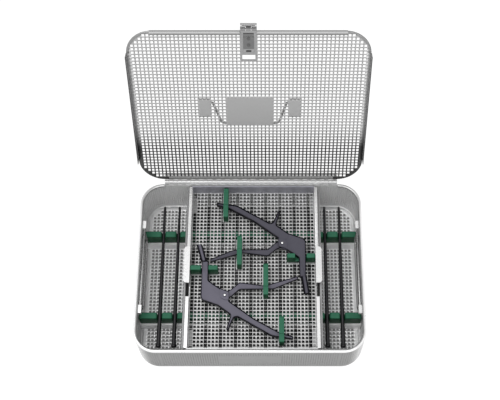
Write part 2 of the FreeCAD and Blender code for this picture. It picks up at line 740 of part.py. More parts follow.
# Inner tray: perforated floor, four walls with a lip turned outwards, and a grip tab
# over a finger notch on each side.
perforated(
    "insert_floor", "XY_Plane", rectangle(insert_left, insert_front, insert_right, insert_back),
    grid(centred(insert_left, insert_right, size.cell), centred(insert_front, insert_back, size.cell),
         size.cell),
    "insert_floor",
)
wall_height = "insert_top - insert_floor"
for name, side in (("insert_wall_left", -1), ("insert_wall_right", 1)):
    inner = insert_left if side < 0 else insert_right
    item = body(name)
    notch_end = size.insert_y - size.grip_length / 2
    notch_start = notch_end - size.finger_notch
    side_view = outline([
        (insert_front, size.insert_floor), (insert_back, size.insert_floor),
        (insert_back, size.insert_top), (notch_end, size.insert_top),
        (notch_end, size.insert_top - size.finger_notch_depth, 3),
        (notch_start, size.insert_top - size.finger_notch_depth, 3),
        (notch_start, size.insert_top), (insert_front, size.insert_top),
    ])
    pad(item, name + "_sheet", sketch(item, name + "_side", "YZ_Plane", side_view), "metal", side < 0)
    for part, low, high in (("front", insert_front, notch_start), ("back", notch_end, insert_back)):
        lip = sketch(item, f"{name}_{part}_lip", "YZ_Plane",
                     rectangle(low, size.insert_top - size.metal, high, size.insert_top))
        pad(item, f"{name}_{part}_flange", lip, "lip_width", side < 0)
    grip_low, grip_high = notch_end, notch_end + size.grip_length
    reach = side * size.grip_reach
    tab = sketch(item, name + "_grip_outline", "XY_Plane", outline([
        (0, grip_low), (reach, grip_low, size.grip_corner), (reach, grip_high, size.grip_corner),
        (0, grip_high),
    ]), "insert_top")
    pad(item, name + "_grip", tab, "metal")
    item.Placement.Base.x = inner
    keep(item, name)
for name, y, edge in (("insert_wall_front", "insert_y - insert_length / 2 - metal", -1),
                      ("insert_wall_back", "insert_y + insert_length / 2", 1)):
    left = "insert_x - insert_width / 2 - metal"
    upright = box(name + "_sheet", "insert_width + 2 * metal", "metal", wall_height, left, y,
                  "insert_floor")
    lip_y = y if edge > 0 else "insert_y - insert_length / 2 - 2 * metal"
    lip = box(name + "_lip", "insert_width + 2 * metal", "2 * metal", "metal", left, lip_y,
              "insert_top - metal")
    keep(fuse(name, [upright, lip]), name)

# The two instruments are the same piece, one turned half round. Points are from the
# lever's pivot, seen from above: an arm, a spur, a broad body and a square shaft.
ARM = [
    (-89.6, 59.4, 1.5), (-61.7, 55.2, 20), (-16.9, 29.0, 4), (-12.3, 30.0, 3), (-5.0, 47.2, 0.6),
    (-2.6, 46.6, 0.6), (-8.4, 26.5, 4), (9.3, 13.5, 8), (29.5, 6.4, 3), (31.6, 2.5, 3),
    (31.0, -48.0), (23.0, -48.0), (22.2, -20.5, 2), (15.0, -15.0, 9), (4.3, -7.9, 6),
    (-5.4, -4.5, 2), (-5.4, 8.0, 2), (-37.9, 32.1, 20), (-71.2, 50.8, 20), (-88.8, 56.0, 1.5),
]
LEVER = [
    (0, -4.3, 1), (-7.8, -8.0, 4), (-19.2, -17.8, 4), (-52.9, -13.2, 20), (-94.8, -26.2, 1),
    (-96.8, -23.4, 1), (-64.0, -9.2, 20), (-19.1, -8.8, 6), (-8.0, 1.5, 3), (0, 4.3, 1),
]
FORK = [(-14.0, -20.0), (6.3, -20.0), (6.3, 3.0, 6.0), (0.0, 6.3, 3.0), (-14.0, 6.3)]
PIVOTS = {"left": (-33.2, -39.2, 180.0), "right": (42.4, 34.4, 0.0)}
tube_x, tube_y = 28.6, -48.0

for name, (x, y, turn) in PIVOTS.items():
    seat = Placement(Vector(x, y, 0), Rotation(Vector(0, 0, 1), turn))
    frame = body("instrument_frame_" + name)
    pad(frame, f"frame_{name}_plate", sketch(frame, f"frame_{name}_outline", "XY_Plane", outline(ARM),
                                             "tool_bottom"), "tool_thick")
    fork = sketch(frame, f"frame_{name}_fork", "XY_Plane", outline(FORK), "lever_bottom - running_gap")
    pocket(frame, f"frame_{name}_slot", fork, "lever_thick + 2 * running_gap", True)
    hole = sketch(frame, f"frame_{name}_hole", "XY_Plane",
                  [Part.Circle(Vector(), Vector(0, 0, 1), size.screw_size / 2)], "tool_bottom")
    pocket(frame, f"frame_{name}_bore", hole, "tool_thick", True)
    tube = sketch(frame, f"frame_{name}_tube", "XZ_Plane",
                  [Part.Circle(Vector(tube_x, size.tool_bottom + size.tool_thick / 2, 0),
                               Vector(0, 0, 1), size.tube_size / 2)], f"{-tube_y}")
    pad(frame, f"frame_{name}_barrel", tube, "tube_length")
    frame.Placement = seat
    keep(frame, "instrument_frame_" + name)

    lever = body("instrument_lever_" + name)
    pad(lever, f"lever_{name}_plate", sketch(lever, f"lever_{name}_outline", "XY_Plane",
                                             outline(LEVER), "lever_bottom"), "lever_thick")
    boss = sketch(lever, f"lever_{name}_boss_round", "XY_Plane",
                  [Part.Circle(Vector(), Vector(0, 0, 1), size.lever_boss)], "lever_bottom")
    pad(lever, f"lever_{name}_boss", boss, "lever_thick")
    eye_round = sketch(lever, f"lever_{name}_eye_round", "XY_Plane",
                       [Part.Circle(Vector(), Vector(0, 0, 1), size.screw_size / 2 + size.pin_play)],
                       "lever_bottom")
    pocket(lever, f"lever_{name}_eye", eye_round, "lever_thick", True)
    lever.Placement = seat
    keep(lever, "instrument_lever_" + name)

    screw = rod_along(f"pivot_screw_{name}", "Z", "screw_size / 2", "tool_thick", "0 mm", "0 mm",
                      "tool_bottom")
    screw.Placement.Base = Vector(x, y, size.tool_bottom)
    screw.setExpression(".Placement.Base.x", None)
    screw.setExpression(".Placement.Base.y", None)
    keep(screw, f"pivot_screw_{name}")

# Instrument holders: silicone bars on steel feet. Each entry gives the bar's low and
# high corner along its length, its middle across, and where its slot lies.
ALONG_Y = {
    "holder_back_arm": (-34.0, 70.3, insert_back - size.holder_foot, 84.0, 93.5),
    "holder_right_lever": (-14.7, 1.1, 43.4, 16.5, 32.5),
    "holder_left_lever": (20.4, -40.6, 3.4, -36.8, -21.0),
    "holder_front_arm": (40.9, -104.3, -69.5, -98.5, -87.5),
}
ALONG_X = {
    "holder_left_shaft": (-2.7, insert_left + size.lay_gap, -42.9, -65.4, -55.4),
    "holder_right_shaft": (14.2, 48.5, insert_right - size.lay_gap, 59.4, 74.6),
}
feet = []
for name, (middle, low, high, slot_low, slot_high) in (ALONG_Y | ALONG_X).items():
    along_y = name in ALONG_Y
    foot_low = middle - size.holder_width / 2 - size.holder_foot
    foot_high = middle + size.holder_width / 2
    foot = Part.makeBox(foot_high - foot_low, high - low, size.metal, Vector(foot_low, low, 0)) \
        if along_y else Part.makeBox(high - low, foot_high - foot_low, size.metal, Vector(low, foot_low, 0))
    feet.append(foot.translated(Vector(0, 0, holder_floor)))
    holder = body(name)
    base = holder_floor + size.metal
    seat_z = size.tool_bottom - size.lay_gap
    profile = outline([
        (low, base), (high, base), (high, size.holder_top, 2),
        (slot_high, size.holder_top, 1), (slot_high, seat_z, 1),
        (slot_low, seat_z, 1), (slot_low, size.holder_top, 1), (low, size.holder_top, 2),
    ])
    face = sketch(holder, name + "_profile", "YZ_Plane" if along_y else "XZ_Plane", profile)
    bar = pad(holder, name + "_bar", face, "holder_width")
    bar.Midplane = True
    holder.Placement.Base = Vector(middle, 0, 0) if along_y else Vector(0, middle, 0)
    keep(holder, name)
holder_feet = doc.addObject("Part::Feature", "holder_feet")
holder_feet.Shape = Part.makeCompound(feet)
keep(holder_feet, "holder_feet")

doc.recompute()

wrong = [item.Name for item in doc.Objects if "Invalid" in item.State or "Error" in item.State]
wrong += [p.Label for p in pieces if p.Shape.isNull() or not p.Shape.isValid()]
if wrong:
    raise RuntimeError("failed: " + ", ".join(wrong))
os.makedirs("parts", exist_ok=True)
for piece in pieces:
    piece.Shape.exportStep(f"parts/{piece.Label}.step")
    print(piece.Label, len(piece.Shape.Solids), round(piece.Shape.Volume, 1))
print(len(pieces), "nodes")
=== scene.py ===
import math

import bmesh
import bpy
import numpy as np
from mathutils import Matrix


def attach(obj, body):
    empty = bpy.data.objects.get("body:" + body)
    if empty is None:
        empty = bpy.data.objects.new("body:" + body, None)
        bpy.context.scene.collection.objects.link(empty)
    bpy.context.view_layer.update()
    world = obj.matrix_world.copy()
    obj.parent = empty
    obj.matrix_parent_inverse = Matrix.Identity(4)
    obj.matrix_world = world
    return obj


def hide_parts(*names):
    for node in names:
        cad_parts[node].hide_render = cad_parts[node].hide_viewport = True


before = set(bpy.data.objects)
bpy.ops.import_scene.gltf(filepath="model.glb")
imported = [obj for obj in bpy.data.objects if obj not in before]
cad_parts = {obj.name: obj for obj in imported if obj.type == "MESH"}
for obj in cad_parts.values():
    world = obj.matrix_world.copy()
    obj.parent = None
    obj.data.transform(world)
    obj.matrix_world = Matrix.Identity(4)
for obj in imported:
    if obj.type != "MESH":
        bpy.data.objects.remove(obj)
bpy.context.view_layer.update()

# ---- The view -------------------------------------------------------------------
# The basket stands open on a plain white table, seen from high above its front edge
# with a long lens. Sizes here and below are millimetres in the basket's own frame.
MM = 0.001
EYE = (24.7, -455.5, 1246.0)
LOOK_DOWN = 64.96
FOCAL_PIXELS, FRAME_PIXELS, SENSOR = 955.0, 500.0, 36.0
SHIFT, FARTHEST = -0.038, 20.0

camera_data = bpy.data.cameras.new("studio_camera")
camera_data.sensor_width = SENSOR
camera_data.lens = SENSOR * FOCAL_PIXELS / FRAME_PIXELS
camera_data.shift_x = SHIFT
camera_data.clip_end = FARTHEST
camera = bpy.data.objects.new("studio_camera", camera_data)
camera.location = [c * MM for c in EYE]
camera.rotation_euler = (math.radians(90 - LOOK_DOWN), 0, 0)
bpy.context.scene.collection.objects.link(camera)
bpy.context.scene.camera = camera
bpy.context.scene.view_settings.view_transform = "Standard"


class Value:
    """A number the shader works out at each point; arithmetic on it adds Math nodes."""

    def __init__(self, finish, socket):
        self.finish, self.socket = finish, socket

    def math(self, operation, *others):
        sockets = dict(enumerate((self, *others)))
        return self.finish.node("ShaderNodeMath", {"operation": operation}, sockets)

    def __add__(self, other):
        return self.math("ADD", other)

    def __mul__(self, other):
        return self.math("MULTIPLY", other)

    def __sub__(self, other):
        return self.math("SUBTRACT", other)

    def __rsub__(self, other):
        return self.finish.node("ShaderNodeMath", {"operation": "SUBTRACT"}, {0: other, 1: self})

    def __gt__(self, other):
        return self.math("GREATER_THAN", other)

    def __lt__(self, other):
        return self.math("LESS_THAN", other)


class Finish:
    """A surface finish: a material, or the world, with nodes added one call at a time."""

    def __init__(self, name, kind="Material"):
        self.block = (bpy.data.worlds if kind == "World" else bpy.data.materials).new(name)
        self.block.use_nodes = True
        self.nodes = self.block.node_tree.nodes
        self.links = self.block.node_tree.links
        self.nodes.clear()
        self.output = self.nodes.new("ShaderNodeOutput" + kind)

    def node(self, kind, settings, sockets, out=0):
        """One node: its settings first, then the values, colours or links of its sockets."""
        node = self.nodes.new(kind)
        for key, value in settings.items():
            setattr(node, key, value)
        for key, value in sockets.items():
            socket = node.inputs[key]
            if isinstance(value, Value):
                self.links.new(value.socket, socket)
            else:
                socket.default_value = (*value, 1) if isinstance(value, tuple) else value
        return Value(self, node.outputs[out])

    def ray(self, kind):
        """1 for rays of a kind, such as Camera, else 0."""
        return self.node("ShaderNodeLightPath", {}, {}, f"Is {kind} Ray")

    def seen(self):
        """1 where the camera looks, straight or by a shiny surface, else 0."""
        return self.ray("Camera").math("MAXIMUM", self.ray("Glossy"))

    def place(self):
        """Where on the object a point is, in metres."""
        return self.node("ShaderNodeTexCoord", {}, {}, "Object")

    def along(self, axis, low, high):
        """How far a point is from low to high, in millimetres along X, Y or Z: 0 to 1."""
        spot = self.node("ShaderNodeSeparateXYZ", {}, {0: self.place()}, "XYZ".index(axis))
        return (spot - low * MM) * (1 / (high - low) / MM)

    def off_centre(self, axis):
        """Distance from the middle along an axis, in millimetres."""
        return self.along(axis, 0.0, 1.0).math("ABSOLUTE")

    def within(self, axis, low, high):
        """1 where a point lies between low and high along an axis, else 0."""
        share = self.along(axis, low, high)
        return (share > 0.0) * (1.0 - share > 0.0)

    def beyond(self, half_x, half_y, corner):
        """1 outside a rounded rectangle about the middle, seen from above, else 0."""
        past = [(self.off_centre(axis) - (half - corner)).math("MAXIMUM", 0.0)
                for axis, half in (("X", half_x), ("Y", half_y))]
        return (past[0] * past[0] + past[1] * past[1]) > corner ** 2

    def mottle(self, scale, detail=3.0):
        """Soft random patches from 0 to 1, scale of them to the metre."""
        return self.node("ShaderNodeTexNoise", {}, {
            "Vector": self.place(), "Scale": scale, "Detail": detail})

    def facing(self, axis):
        """How far the surface faces along X, Y or Z: 1 towards it, -1 away from it."""
        normal = self.node("ShaderNodeTexCoord", {}, {}, "Normal")
        return self.node("ShaderNodeSeparateXYZ", {}, {0: normal}, "XYZ".index(axis))

    def blend(self, factor, first, second):
        """A colour between two, by a factor from 0 to 1."""
        sockets = {0: factor, 6: first, 7: second}
        return self.node("ShaderNodeMix", {"data_type": "RGBA"}, sockets, 2)

    def mix(self, share, first, second):
        """A shader between two, by a share from 0 to 1, as the whole finish."""
        shader = self.node("ShaderNodeMixShader", {}, {0: share, 1: first, 2: second})
        self.links.new(shader.socket, self.output.inputs["Surface"])
        return self.block

    def surface(self, bump, strength, depth, **sockets):
        """The Principled shader as the whole finish, with a height that its normal follows."""
        sockets = {key.replace("_", " "): value for key, value in sockets.items()}
        sockets["Normal"] = self.node("ShaderNodeBump", {}, {
            "Height": bump, "Strength": strength, "Distance": depth})
        shader = self.node("ShaderNodeBsdfPrincipled", {}, sockets)
        self.links.new(shader.socket, self.output.inputs["Surface"])
        return self.block


# Table: a plain white sheet. Away from the basket it glows for the camera, so that it
# stays white. Under the side bays it is painted dark as painted shade, with a faint glow as
# painted light through the floor's holes; under the inner tray it is painted nearly black as
# painted shade and does not glow.
TABLE_HALF, TABLE_Z = 4000.0, -0.4
TABLE_TONE, BAY_PAINTED_SHADE, SHADE_TONE = (0.9, 0.9, 0.9), (0.09, 0.09, 0.09), (0.02, 0.02, 0.02)
TABLE_GLOW, BAY_PAINTED_LIGHT, TABLE_WHITE = 0.90, 0.09, 1.10
WHITE = (1, 1, 1)
OUTLINE = (148.5, 117.5, 29.0)
SHADE_LEFT, SHADE_RIGHT = -84.0, 91.0

table = Finish("white_table")
outside = table.beyond(*OUTLINE)
shaded = table.within("X", SHADE_LEFT, SHADE_RIGHT) * (1.0 - outside)
bare = table.blend(1.0 - outside, TABLE_TONE, BAY_PAINTED_SHADE)
plain = table.node("ShaderNodeBsdfDiffuse", {}, {"Color": table.blend(shaded, bare, SHADE_TONE)})
glow = table.node("ShaderNodeEmission", {}, {"Color": WHITE, "Strength": TABLE_WHITE})
glowing = outside * TABLE_GLOW + (1.0 - outside - shaded) * BAY_PAINTED_LIGHT
white_table = table.mix(table.seen() * glowing, plain, glow)

table_mesh = bpy.data.meshes.new("table")
table_mesh.from_pydata(
    [(x * TABLE_HALF * MM, y * TABLE_HALF * MM, TABLE_Z * MM)
     for x, y in ((-1, -1), (1, -1), (1, 1), (-1, 1))], [], [(0, 1, 2, 3)])
table_mesh.materials.append(white_table)
table_top = bpy.data.objects.new("table", table_mesh)
bpy.context.scene.collection.objects.link(table_top)

# Light: an even white room, a broad soft lamp over the lid and a smaller one in front.
# The lamps' places and sizes are in metres.
ROOM_LIGHT, LAMPS_AT = 0.62, (0.0, 0.0, 0.05)

room = Finish("white_room", "World")
soft, white = (room.node("ShaderNodeBackground", {}, {"Color": WHITE, "Strength": strength})
               for strength in (ROOM_LIGHT, 1.0))
seen = room.seen().math("MAXIMUM", room.ray("Transmission"))
bpy.context.scene.world = room.mix(seen, soft, white)

for name, where, size, watts in (
    ("lamp_over", (-0.5, -0.3, 1.7), 1.2, 12.0),
    ("lamp_front", (0.6, -1.4, 1.1), 0.8, 4.0),
):
    lamp = bpy.data.lights.new(name, "AREA")
    lamp.size, lamp.energy = size, watts
    holder = bpy.data.objects.new(name, lamp)
    holder.location = where
    aim = np.array(LAMPS_AT) - np.array(where)
    holder.rotation_euler = (math.atan2(math.hypot(aim[0], aim[1]), -aim[2]), 0,
                             math.atan2(aim[0], -aim[1]) + math.pi)
    bpy.context.scene.collection.objects.link(holder)


# ---- Basket floor ---------------------------------------------------------------
# Stainless sheet 0.8 mm thick, punched with square holes at 5 mm pitch and pressed with
# the walls; a plain margin is left along its bend.
BASE_HALF = np.array([149.5, 118.5])
METAL, CORNER, BEND = 0.8, 30.0, 3.0
PITCH, HOLE, FLOOR_MARGIN = 5.0, 3.2, 6.0
PATCHES, GRAIN, GRAIN_DEPTH = 22.0, 240.0, 0.00006
MITE = 1e-6


def steel(name, light, dark, rough, metallic=0.85, *shades):
    """Stainless sheet: grey metal with faint patches and a fine rolled grain.

    Light and dark are tones or colours, and the metal lies between them. Each shade is a
    function of the finish that says where, and the tone it has there.
    """
    light, dark = ((t, t, t) if isinstance(t, float) else t for t in (light, dark))
    finish = Finish(name)
    patches = finish.mottle(PATCHES)
    lines = finish.mottle(GRAIN, 2.0)
    roughness = patches * 0.14 + lines * 0.10 + (rough - 0.12)
    tone = finish.blend(patches * 0.6 + lines * 0.4, dark, light)
    for where, grey in shades:
        tone = finish.blend(where(finish), tone, (grey, grey, grey))
    return finish.surface(Base_Color=tone, Metallic=metallic, Roughness=roughness,
                          bump=lines, strength=0.12, depth=GRAIN_DEPTH)


def painted_tray_shade(finish):
    """1 on the floor in the shade of the inner tray, else 0."""
    return finish.within("X", SHADE_LEFT, SHADE_RIGHT) * (finish.facing("Z") > 0.5)


# The floor's upper face under the inner tray gets a painted shade, 0.07, and the walls of its
# holes are painted nearly black as shade inside them.
floor_steel = (
    steel("floor_steel", 0.90, (0.74, 0.74, 0.745), 0.40, 0.6, (painted_tray_shade, 0.07)),
    steel("floor_steel_edges", 0.12, 0.08, 0.6, 0.3))


def add(name, mesh, body, material, node):
    """Puts a finished mesh in the scene on its body, for the node it stands for."""
    if material:
        mesh.materials.append(material)
    piece = bpy.data.objects.new(name, mesh)
    bpy.context.scene.collection.objects.link(piece)
    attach(piece, body)
    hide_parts(node)
    return piece


def smoothed(mesh, angle):
    """The mesh with smooth shading, sharp where faces meet at more than the angle in degrees."""
    mesh.shade_smooth()
    mesh.set_sharp_from_angle(angle=math.radians(angle))
    return mesh


def quads(name, points, faces, smooth=None):
    """A mesh from points in millimetres and four-sided faces, unused points left out."""
    used, faces = np.unique(faces, return_inverse=True)
    points = points.reshape(-1, 3)[used] * MM
    mesh = bpy.data.meshes.new(name)
    mesh.vertices.add(len(points))
    mesh.vertices.foreach_set("co", points.ravel())
    faces = faces.reshape(-1, 4)
    mesh.loops.add(faces.size)
    mesh.loops.foreach_set("vertex_index", faces.ravel())
    mesh.polygons.add(len(faces))
    mesh.polygons.foreach_set("loop_start", np.arange(0, faces.size, 4))
    mesh.update(calc_edges=True)
    mesh.validate()
    return smoothed(mesh, smooth) if smooth else mesh


def hole_lines(low, high, places, hole=HOLE):
    """Grid lines of a row of holes: both ends, and each hole's middle plus and minus half."""
    edges = np.stack([places - hole / 2, places + hole / 2], 1).ravel()
    return np.concatenate([[low], edges, [high]])


def sheet_of_metal(name, top, under, solid, metals, smooth=None):
    """A sheet from two grids of points, upper and lower.

    Each solid cell gives an upper and a lower face, and each edge between a solid cell
    and a hole or the outside gives a wall across the thickness, dull from the punch and
    with the second metal, which is painted darker as shade inside the holes.
    """
    rows, columns = top.shape[:2]
    index = np.arange(rows * columns).reshape(rows, columns)
    below = index + rows * columns
    i, j = np.nonzero(solid)
    faces = [
        np.stack([index[i, j], index[i + 1, j], index[i + 1, j + 1], index[i, j + 1]], 1),
        np.stack([below[i, j + 1], below[i + 1, j + 1], below[i + 1, j], below[i, j]], 1),
    ]
    around = np.pad(solid, 1)
    before, after = around[:-1, 1:-1], around[1:, 1:-1]
    for edge, order in ((before & ~after, 1), (after & ~before, -1)):
        i, j = np.nonzero(edge)
        wall = [index[i, j], below[i, j], below[i, j + 1], index[i, j + 1]]
        faces.append(np.stack(wall[::order], 1))
    before, after = around[1:-1, :-1], around[1:-1, 1:]
    for edge, order in ((before & ~after, 1), (after & ~before, -1)):
        i, j = np.nonzero(edge)
        wall = [index[i + 1, j], below[i + 1, j], below[i, j], index[i, j]]
        faces.append(np.stack(wall[::order], 1))
    mesh = quads(name, np.concatenate([top.reshape(-1, 3), under.reshape(-1, 3)]),
                 np.concatenate(faces), smooth)
    for metal in metals:
        mesh.materials.append(metal)
    flat = len(faces[0]) + len(faces[1])
    kind = np.concatenate([np.zeros(flat, int), np.ones(len(mesh.polygons) - flat, int)])
    mesh.polygons.foreach_set("material_index", kind)
    return mesh


def round_off(x, y, half, radius):
    """Distance outside a rounded rectangle, and the points moved in to its corner arcs."""
    reach_x, reach_y = np.abs(x) - (half[0] - radius), np.abs(y) - (half[1] - radius)
    corner = np.hypot(np.maximum(reach_x, 0), np.maximum(reach_y, 0))
    far = corner + np.minimum(np.maximum(reach_x, reach_y), 0) - radius
    on_arc = (reach_x > 0) & (reach_y > 0) & (corner > radius)
    scale = np.where(on_arc, radius / np.maximum(corner, MITE), 1.0)
    moved_x = np.where(scale < 1, np.sign(x) * (half[0] - radius + reach_x * scale), x)
    moved_y = np.where(scale < 1, np.sign(y) * (half[1] - radius + reach_y * scale), y)
    return far, moved_x, moved_y


def cells_in(x, y, zone, whole=False):
    """Which cells of a grid of points touch a zone, or lie in it whole."""
    low_x, low_y, high_x, high_y = zone
    near, far = slice(None, -1), slice(1, None)
    low, high = (near, far) if whole else (far, near)
    return ((x[low, low] > low_x) & (x[high, high] < high_x)
            & (y[low, low] > low_y) & (y[high, high] < high_y))


def flat_plate(name, half, centre, radius, lines_x, lines_y, margin, metals, place,
               blanks=(), windows=()):
    """A flat punched plate with rounded corners.

    The lines cross at the holes' corners. A hole stays shut where it comes within the
    margin of the edge or touches a blank zone, and a window opens all that it holds.
    Crossings beyond a corner's arc move in to it. place turns (x, y, depth) into points.
    """
    x, y = np.meshgrid(lines_x, lines_y, indexing="ij")
    far, moved_x, moved_y = round_off(x - centre[0], y - centre[1], half, radius)
    corners = np.stack([far[:-1, :-1], far[1:, :-1], far[:-1, 1:], far[1:, 1:]])
    solid = corners.min(0) < -MITE
    open_cell = np.zeros(solid.shape, bool)
    open_cell[1::2, 1::2] = corners.max(0)[1::2, 1::2] < -margin
    for zone in blanks:
        open_cell &= ~cells_in(x, y, zone)
    for zone in windows:
        open_cell |= cells_in(x, y, zone, whole=True)
    moved_x, moved_y = moved_x + centre[0], moved_y + centre[1]
    return sheet_of_metal(name, place(moved_x, moved_y, 0.0), place(moved_x, moved_y, METAL),
                          solid & ~open_cell, metals)


def middles(count, pitch=PITCH, centre=0.0):
    """Middles of a row of holes that is centred on a place."""
    return centre + (np.arange(count) - (count - 1) / 2) * pitch


floor_half = BASE_HALF - BEND
floor_mesh = flat_plate(
    "basket_floor", floor_half, (0, 0), CORNER - BEND,
    hole_lines(-floor_half[0], floor_half[0], middles(58)),
    hole_lines(-floor_half[1], floor_half[1], middles(44)),
    FLOOR_MARGIN - BEND, floor_steel,
    lambda x, y, depth: np.stack([x, y, METAL - depth + 0 * x], -1))
add("basket_floor", floor_mesh, "base", None, "base_floor")

# ---- Basket walls and corners ---------------------------------------------------
# The walls rise from a small bend at the floor and are punched finer than it, with a
# blank field in the middle of the front. Corners are the same sheet, rolled to 30 mm.
WALL_TOP, OVERLAP = 66.6, 4.0
INNER = BASE_HALF - CORNER
STRAIGHT = INNER - OVERLAP
QUARTER, BEND_ARC, BEND_STEPS = CORNER * math.pi / 2, BEND * math.pi / 2, 6
FRONT_BLANK = (-39.5, 18.0, 39.5, 51.0)
WALL_ROWS, WALL_FIRST_ROW, WALL_END = 18, 9.0, 1.0
WALL_PITCH, WALL_HOLE = 3.1, 1.1
FRONT_SHADE = (-109.0, -117.0)


def round_the_basket(along):
    """Outline point and outward direction, by distance from the middle of the front edge.

    The walk goes to the right first. On a straight stretch it moves along the edge; on a
    corner the direction turns evenly through a quarter.
    """
    steps = np.cumsum([0, INNER[0], QUARTER, 2 * INNER[1], QUARTER, 2 * INNER[0], QUARTER,
                       2 * INNER[1], QUARTER, INNER[0]])
    knots = INNER * [(0, -1), (1, -1), (1, -1), (1, 1), (1, 1), (-1, 1), (-1, 1), (-1, -1),
                     (-1, -1), (0, -1)]
    angles = np.radians([-90, -90, 0, 0, 90, 90, 180, 180, 270, 270])
    along = np.mod(along, steps[-1])
    angle = np.interp(along, steps, angles)
    out = np.stack([np.cos(angle), np.sin(angle)], -1)
    middle = np.stack([np.interp(along, steps, side) for side in knots.T], -1)
    return middle + CORNER * out, out


def wall_place(along, height, depth):
    """Point of the wall: up a quarter bend from the floor, then straight up; depth is inward."""
    edge, out = round_the_basket(along)
    swing = np.clip(height / BEND_ARC, 0, 1) * math.pi / 2
    radius = BEND - depth
    inward = BEND - radius * np.sin(swing)
    up = BEND - radius * np.cos(swing) + np.maximum(height - BEND_ARC, 0)
    flat = edge - out * inward[..., None]
    return np.concatenate([flat, up[..., None]], -1)


# The front wall gets a painted shade, 0.25, over its last 8 mm towards the front; the walls of the
# holes are painted darker as shade inside them.
front_wall_painted_shade = (lambda finish: finish.along("Y", *FRONT_SHADE), 0.25)
wall_steel = (steel("wall_steel", 0.80, 0.66, 0.42, 0.3, front_wall_painted_shade),
              steel("wall_steel_edges", 0.50, 0.40, 0.6, 0.3, front_wall_painted_shade))


def wall(name, start, length):
    """One stretch of wall with its own centred field of holes."""
    columns = int((length - WALL_END) / WALL_PITCH)
    holes = middles(columns, WALL_PITCH, start + length / 2)
    lines = hole_lines(start, start + length, holes, WALL_HOLE)
    above_bend = BEND_ARC - BEND
    rows = WALL_FIRST_ROW + above_bend + np.arange(WALL_ROWS) * WALL_PITCH
    heights = np.concatenate([np.linspace(0, BEND_ARC, BEND_STEPS),
                              hole_lines(0, 0, rows, WALL_HOLE)[1:-1], [WALL_TOP + above_bend]])
    s, t = np.meshgrid(lines, heights, indexing="ij")
    open_cell = np.zeros((len(lines) - 1, len(heights) - 1), bool)
    open_cell[1::2, BEND_STEPS:-1:2] = True
    open_cell &= ~cells_in(s, t - above_bend, FRONT_BLANK)
    return sheet_of_metal(name, wall_place(s, t, 0.0), wall_place(s, t, METAL), ~open_cell,
                          wall_steel, 30)


around = (
    ("wall_front", STRAIGHT[0]), ("corner_front_right", QUARTER / 2 + OVERLAP),
    ("wall_right", STRAIGHT[1]), ("corner_back_right", QUARTER / 2 + OVERLAP),
    ("wall_back", STRAIGHT[0]), ("corner_back_left", QUARTER / 2 + OVERLAP),
    ("wall_left", STRAIGHT[1]), ("corner_front_left", QUARTER / 2 + OVERLAP),
)
start = -STRAIGHT[0]
for name, half in around:
    mesh = wall("basket_" + name, start, 2 * half)
    add("basket_" + name, mesh, "base", None, name)
    start += 2 * half

# ---- Rolled rim -----------------------------------------------------------------
# The top edge is rolled round a 4.4 mm wire, and stops at each end of the hinge.
RIM_WIRE, RIM_TOP, RIM_OUT = 4.4, 70.0, 0.2
RIM_HALF = BASE_HALF + RIM_OUT - RIM_WIRE / 2
RIM_BEND = CORNER - RIM_WIRE / 2
HINGE_LENGTH = 236.0
BACK_SHADE = (60.0, 120.0)


def rim_shade(finish):
    """How far the rim is in shade: all its inner half, and more towards the back."""
    inside = 1.0 - finish.beyond(*RIM_HALF, RIM_BEND)
    return inside.math("MAXIMUM", finish.along("Y", *BACK_SHADE))


bright_steel = steel("bright_steel", 0.86, 0.66, 0.28)
rim_steel = steel("rim_steel", 0.98, 0.84, 0.30, 0.8, (rim_shade, 0.45))


def bent(points, radii, steps=10):
    """A path through the points, each inner corner replaced by a tangent arc."""
    points = [np.array(p, float) for p in points]
    path = [points[0]]
    for before, spot, after, radius in zip(points, points[1:], points[2:], radii):
        first = (before - spot) / np.linalg.norm(before - spot)
        last = (after - spot) / np.linalg.norm(after - spot)
        half = math.acos(np.clip(first @ last, -1, 1)) / 2
        start = spot + first * radius / math.tan(half)
        middle = spot + (first + last) / np.linalg.norm(first + last) * radius / math.sin(half)
        swing = np.linspace(0, math.pi - 2 * half, steps)[:, None]
        side = (start - middle) / radius
        ahead = -first
        path.extend(middle + radius * (side * np.cos(swing) + ahead * np.sin(swing)))
    path.append(points[-1])
    return np.array(path)


def tube(name, path, radius, side, sides=20):
    """A round bar along a path that lies in a plane; side is the plane's normal.

    Each ring is the path point plus radius times cos(angle) of the side direction and
    sin(angle) of the direction across the path. The ends are closed by small rings.
    """
    path = np.asarray(path, float)
    radius = np.broadcast_to(radius, len(path)).astype(float)
    ahead = np.gradient(path, axis=0)
    ahead /= np.linalg.norm(ahead, axis=1)[:, None]
    ease = np.array([0.0, 0.55, 0.85, 1.0])
    tip = 0.25 * radius[0]
    starts = path[0] + ahead[0] * (np.array([0, 0, 0.3, 1.0])[:, None] * tip)
    ends = path[-1] - ahead[-1] * (np.array([1.0, 0.3, 0, 0])[:, None] * tip)
    path = np.concatenate([starts, path[1:-1], ends])
    ahead = np.concatenate([[ahead[0]] * 4, ahead[1:-1], [ahead[-1]] * 4])
    radius = np.concatenate([radius[0] * ease, radius[1:-1], radius[-1] * ease[::-1]])
    side = np.broadcast_to(np.array(side, float), path.shape)
    across = np.cross(ahead, side)
    angle = np.linspace(0, 2 * math.pi, sides, endpoint=False)
    round_it = (side[:, None] * np.cos(angle)[None, :, None]
                + across[:, None] * np.sin(angle)[None, :, None])
    rings = path[:, None] + radius[:, None, None] * round_it
    index = np.arange(len(path) * sides).reshape(len(path), sides)
    following = np.roll(index, -1, 1)
    faces = np.stack([index[:-1], following[:-1], following[1:], index[1:]], -1).reshape(-1, 4)
    mesh = quads(name, rings, faces)
    work = bmesh.new()
    work.from_mesh(mesh)
    bmesh.ops.remove_doubles(work, verts=work.verts, dist=1e-7)
    bmesh.ops.recalc_face_normals(work, faces=work.faces)
    work.to_mesh(mesh)
    work.free()
    mesh.shade_smooth()
    return mesh


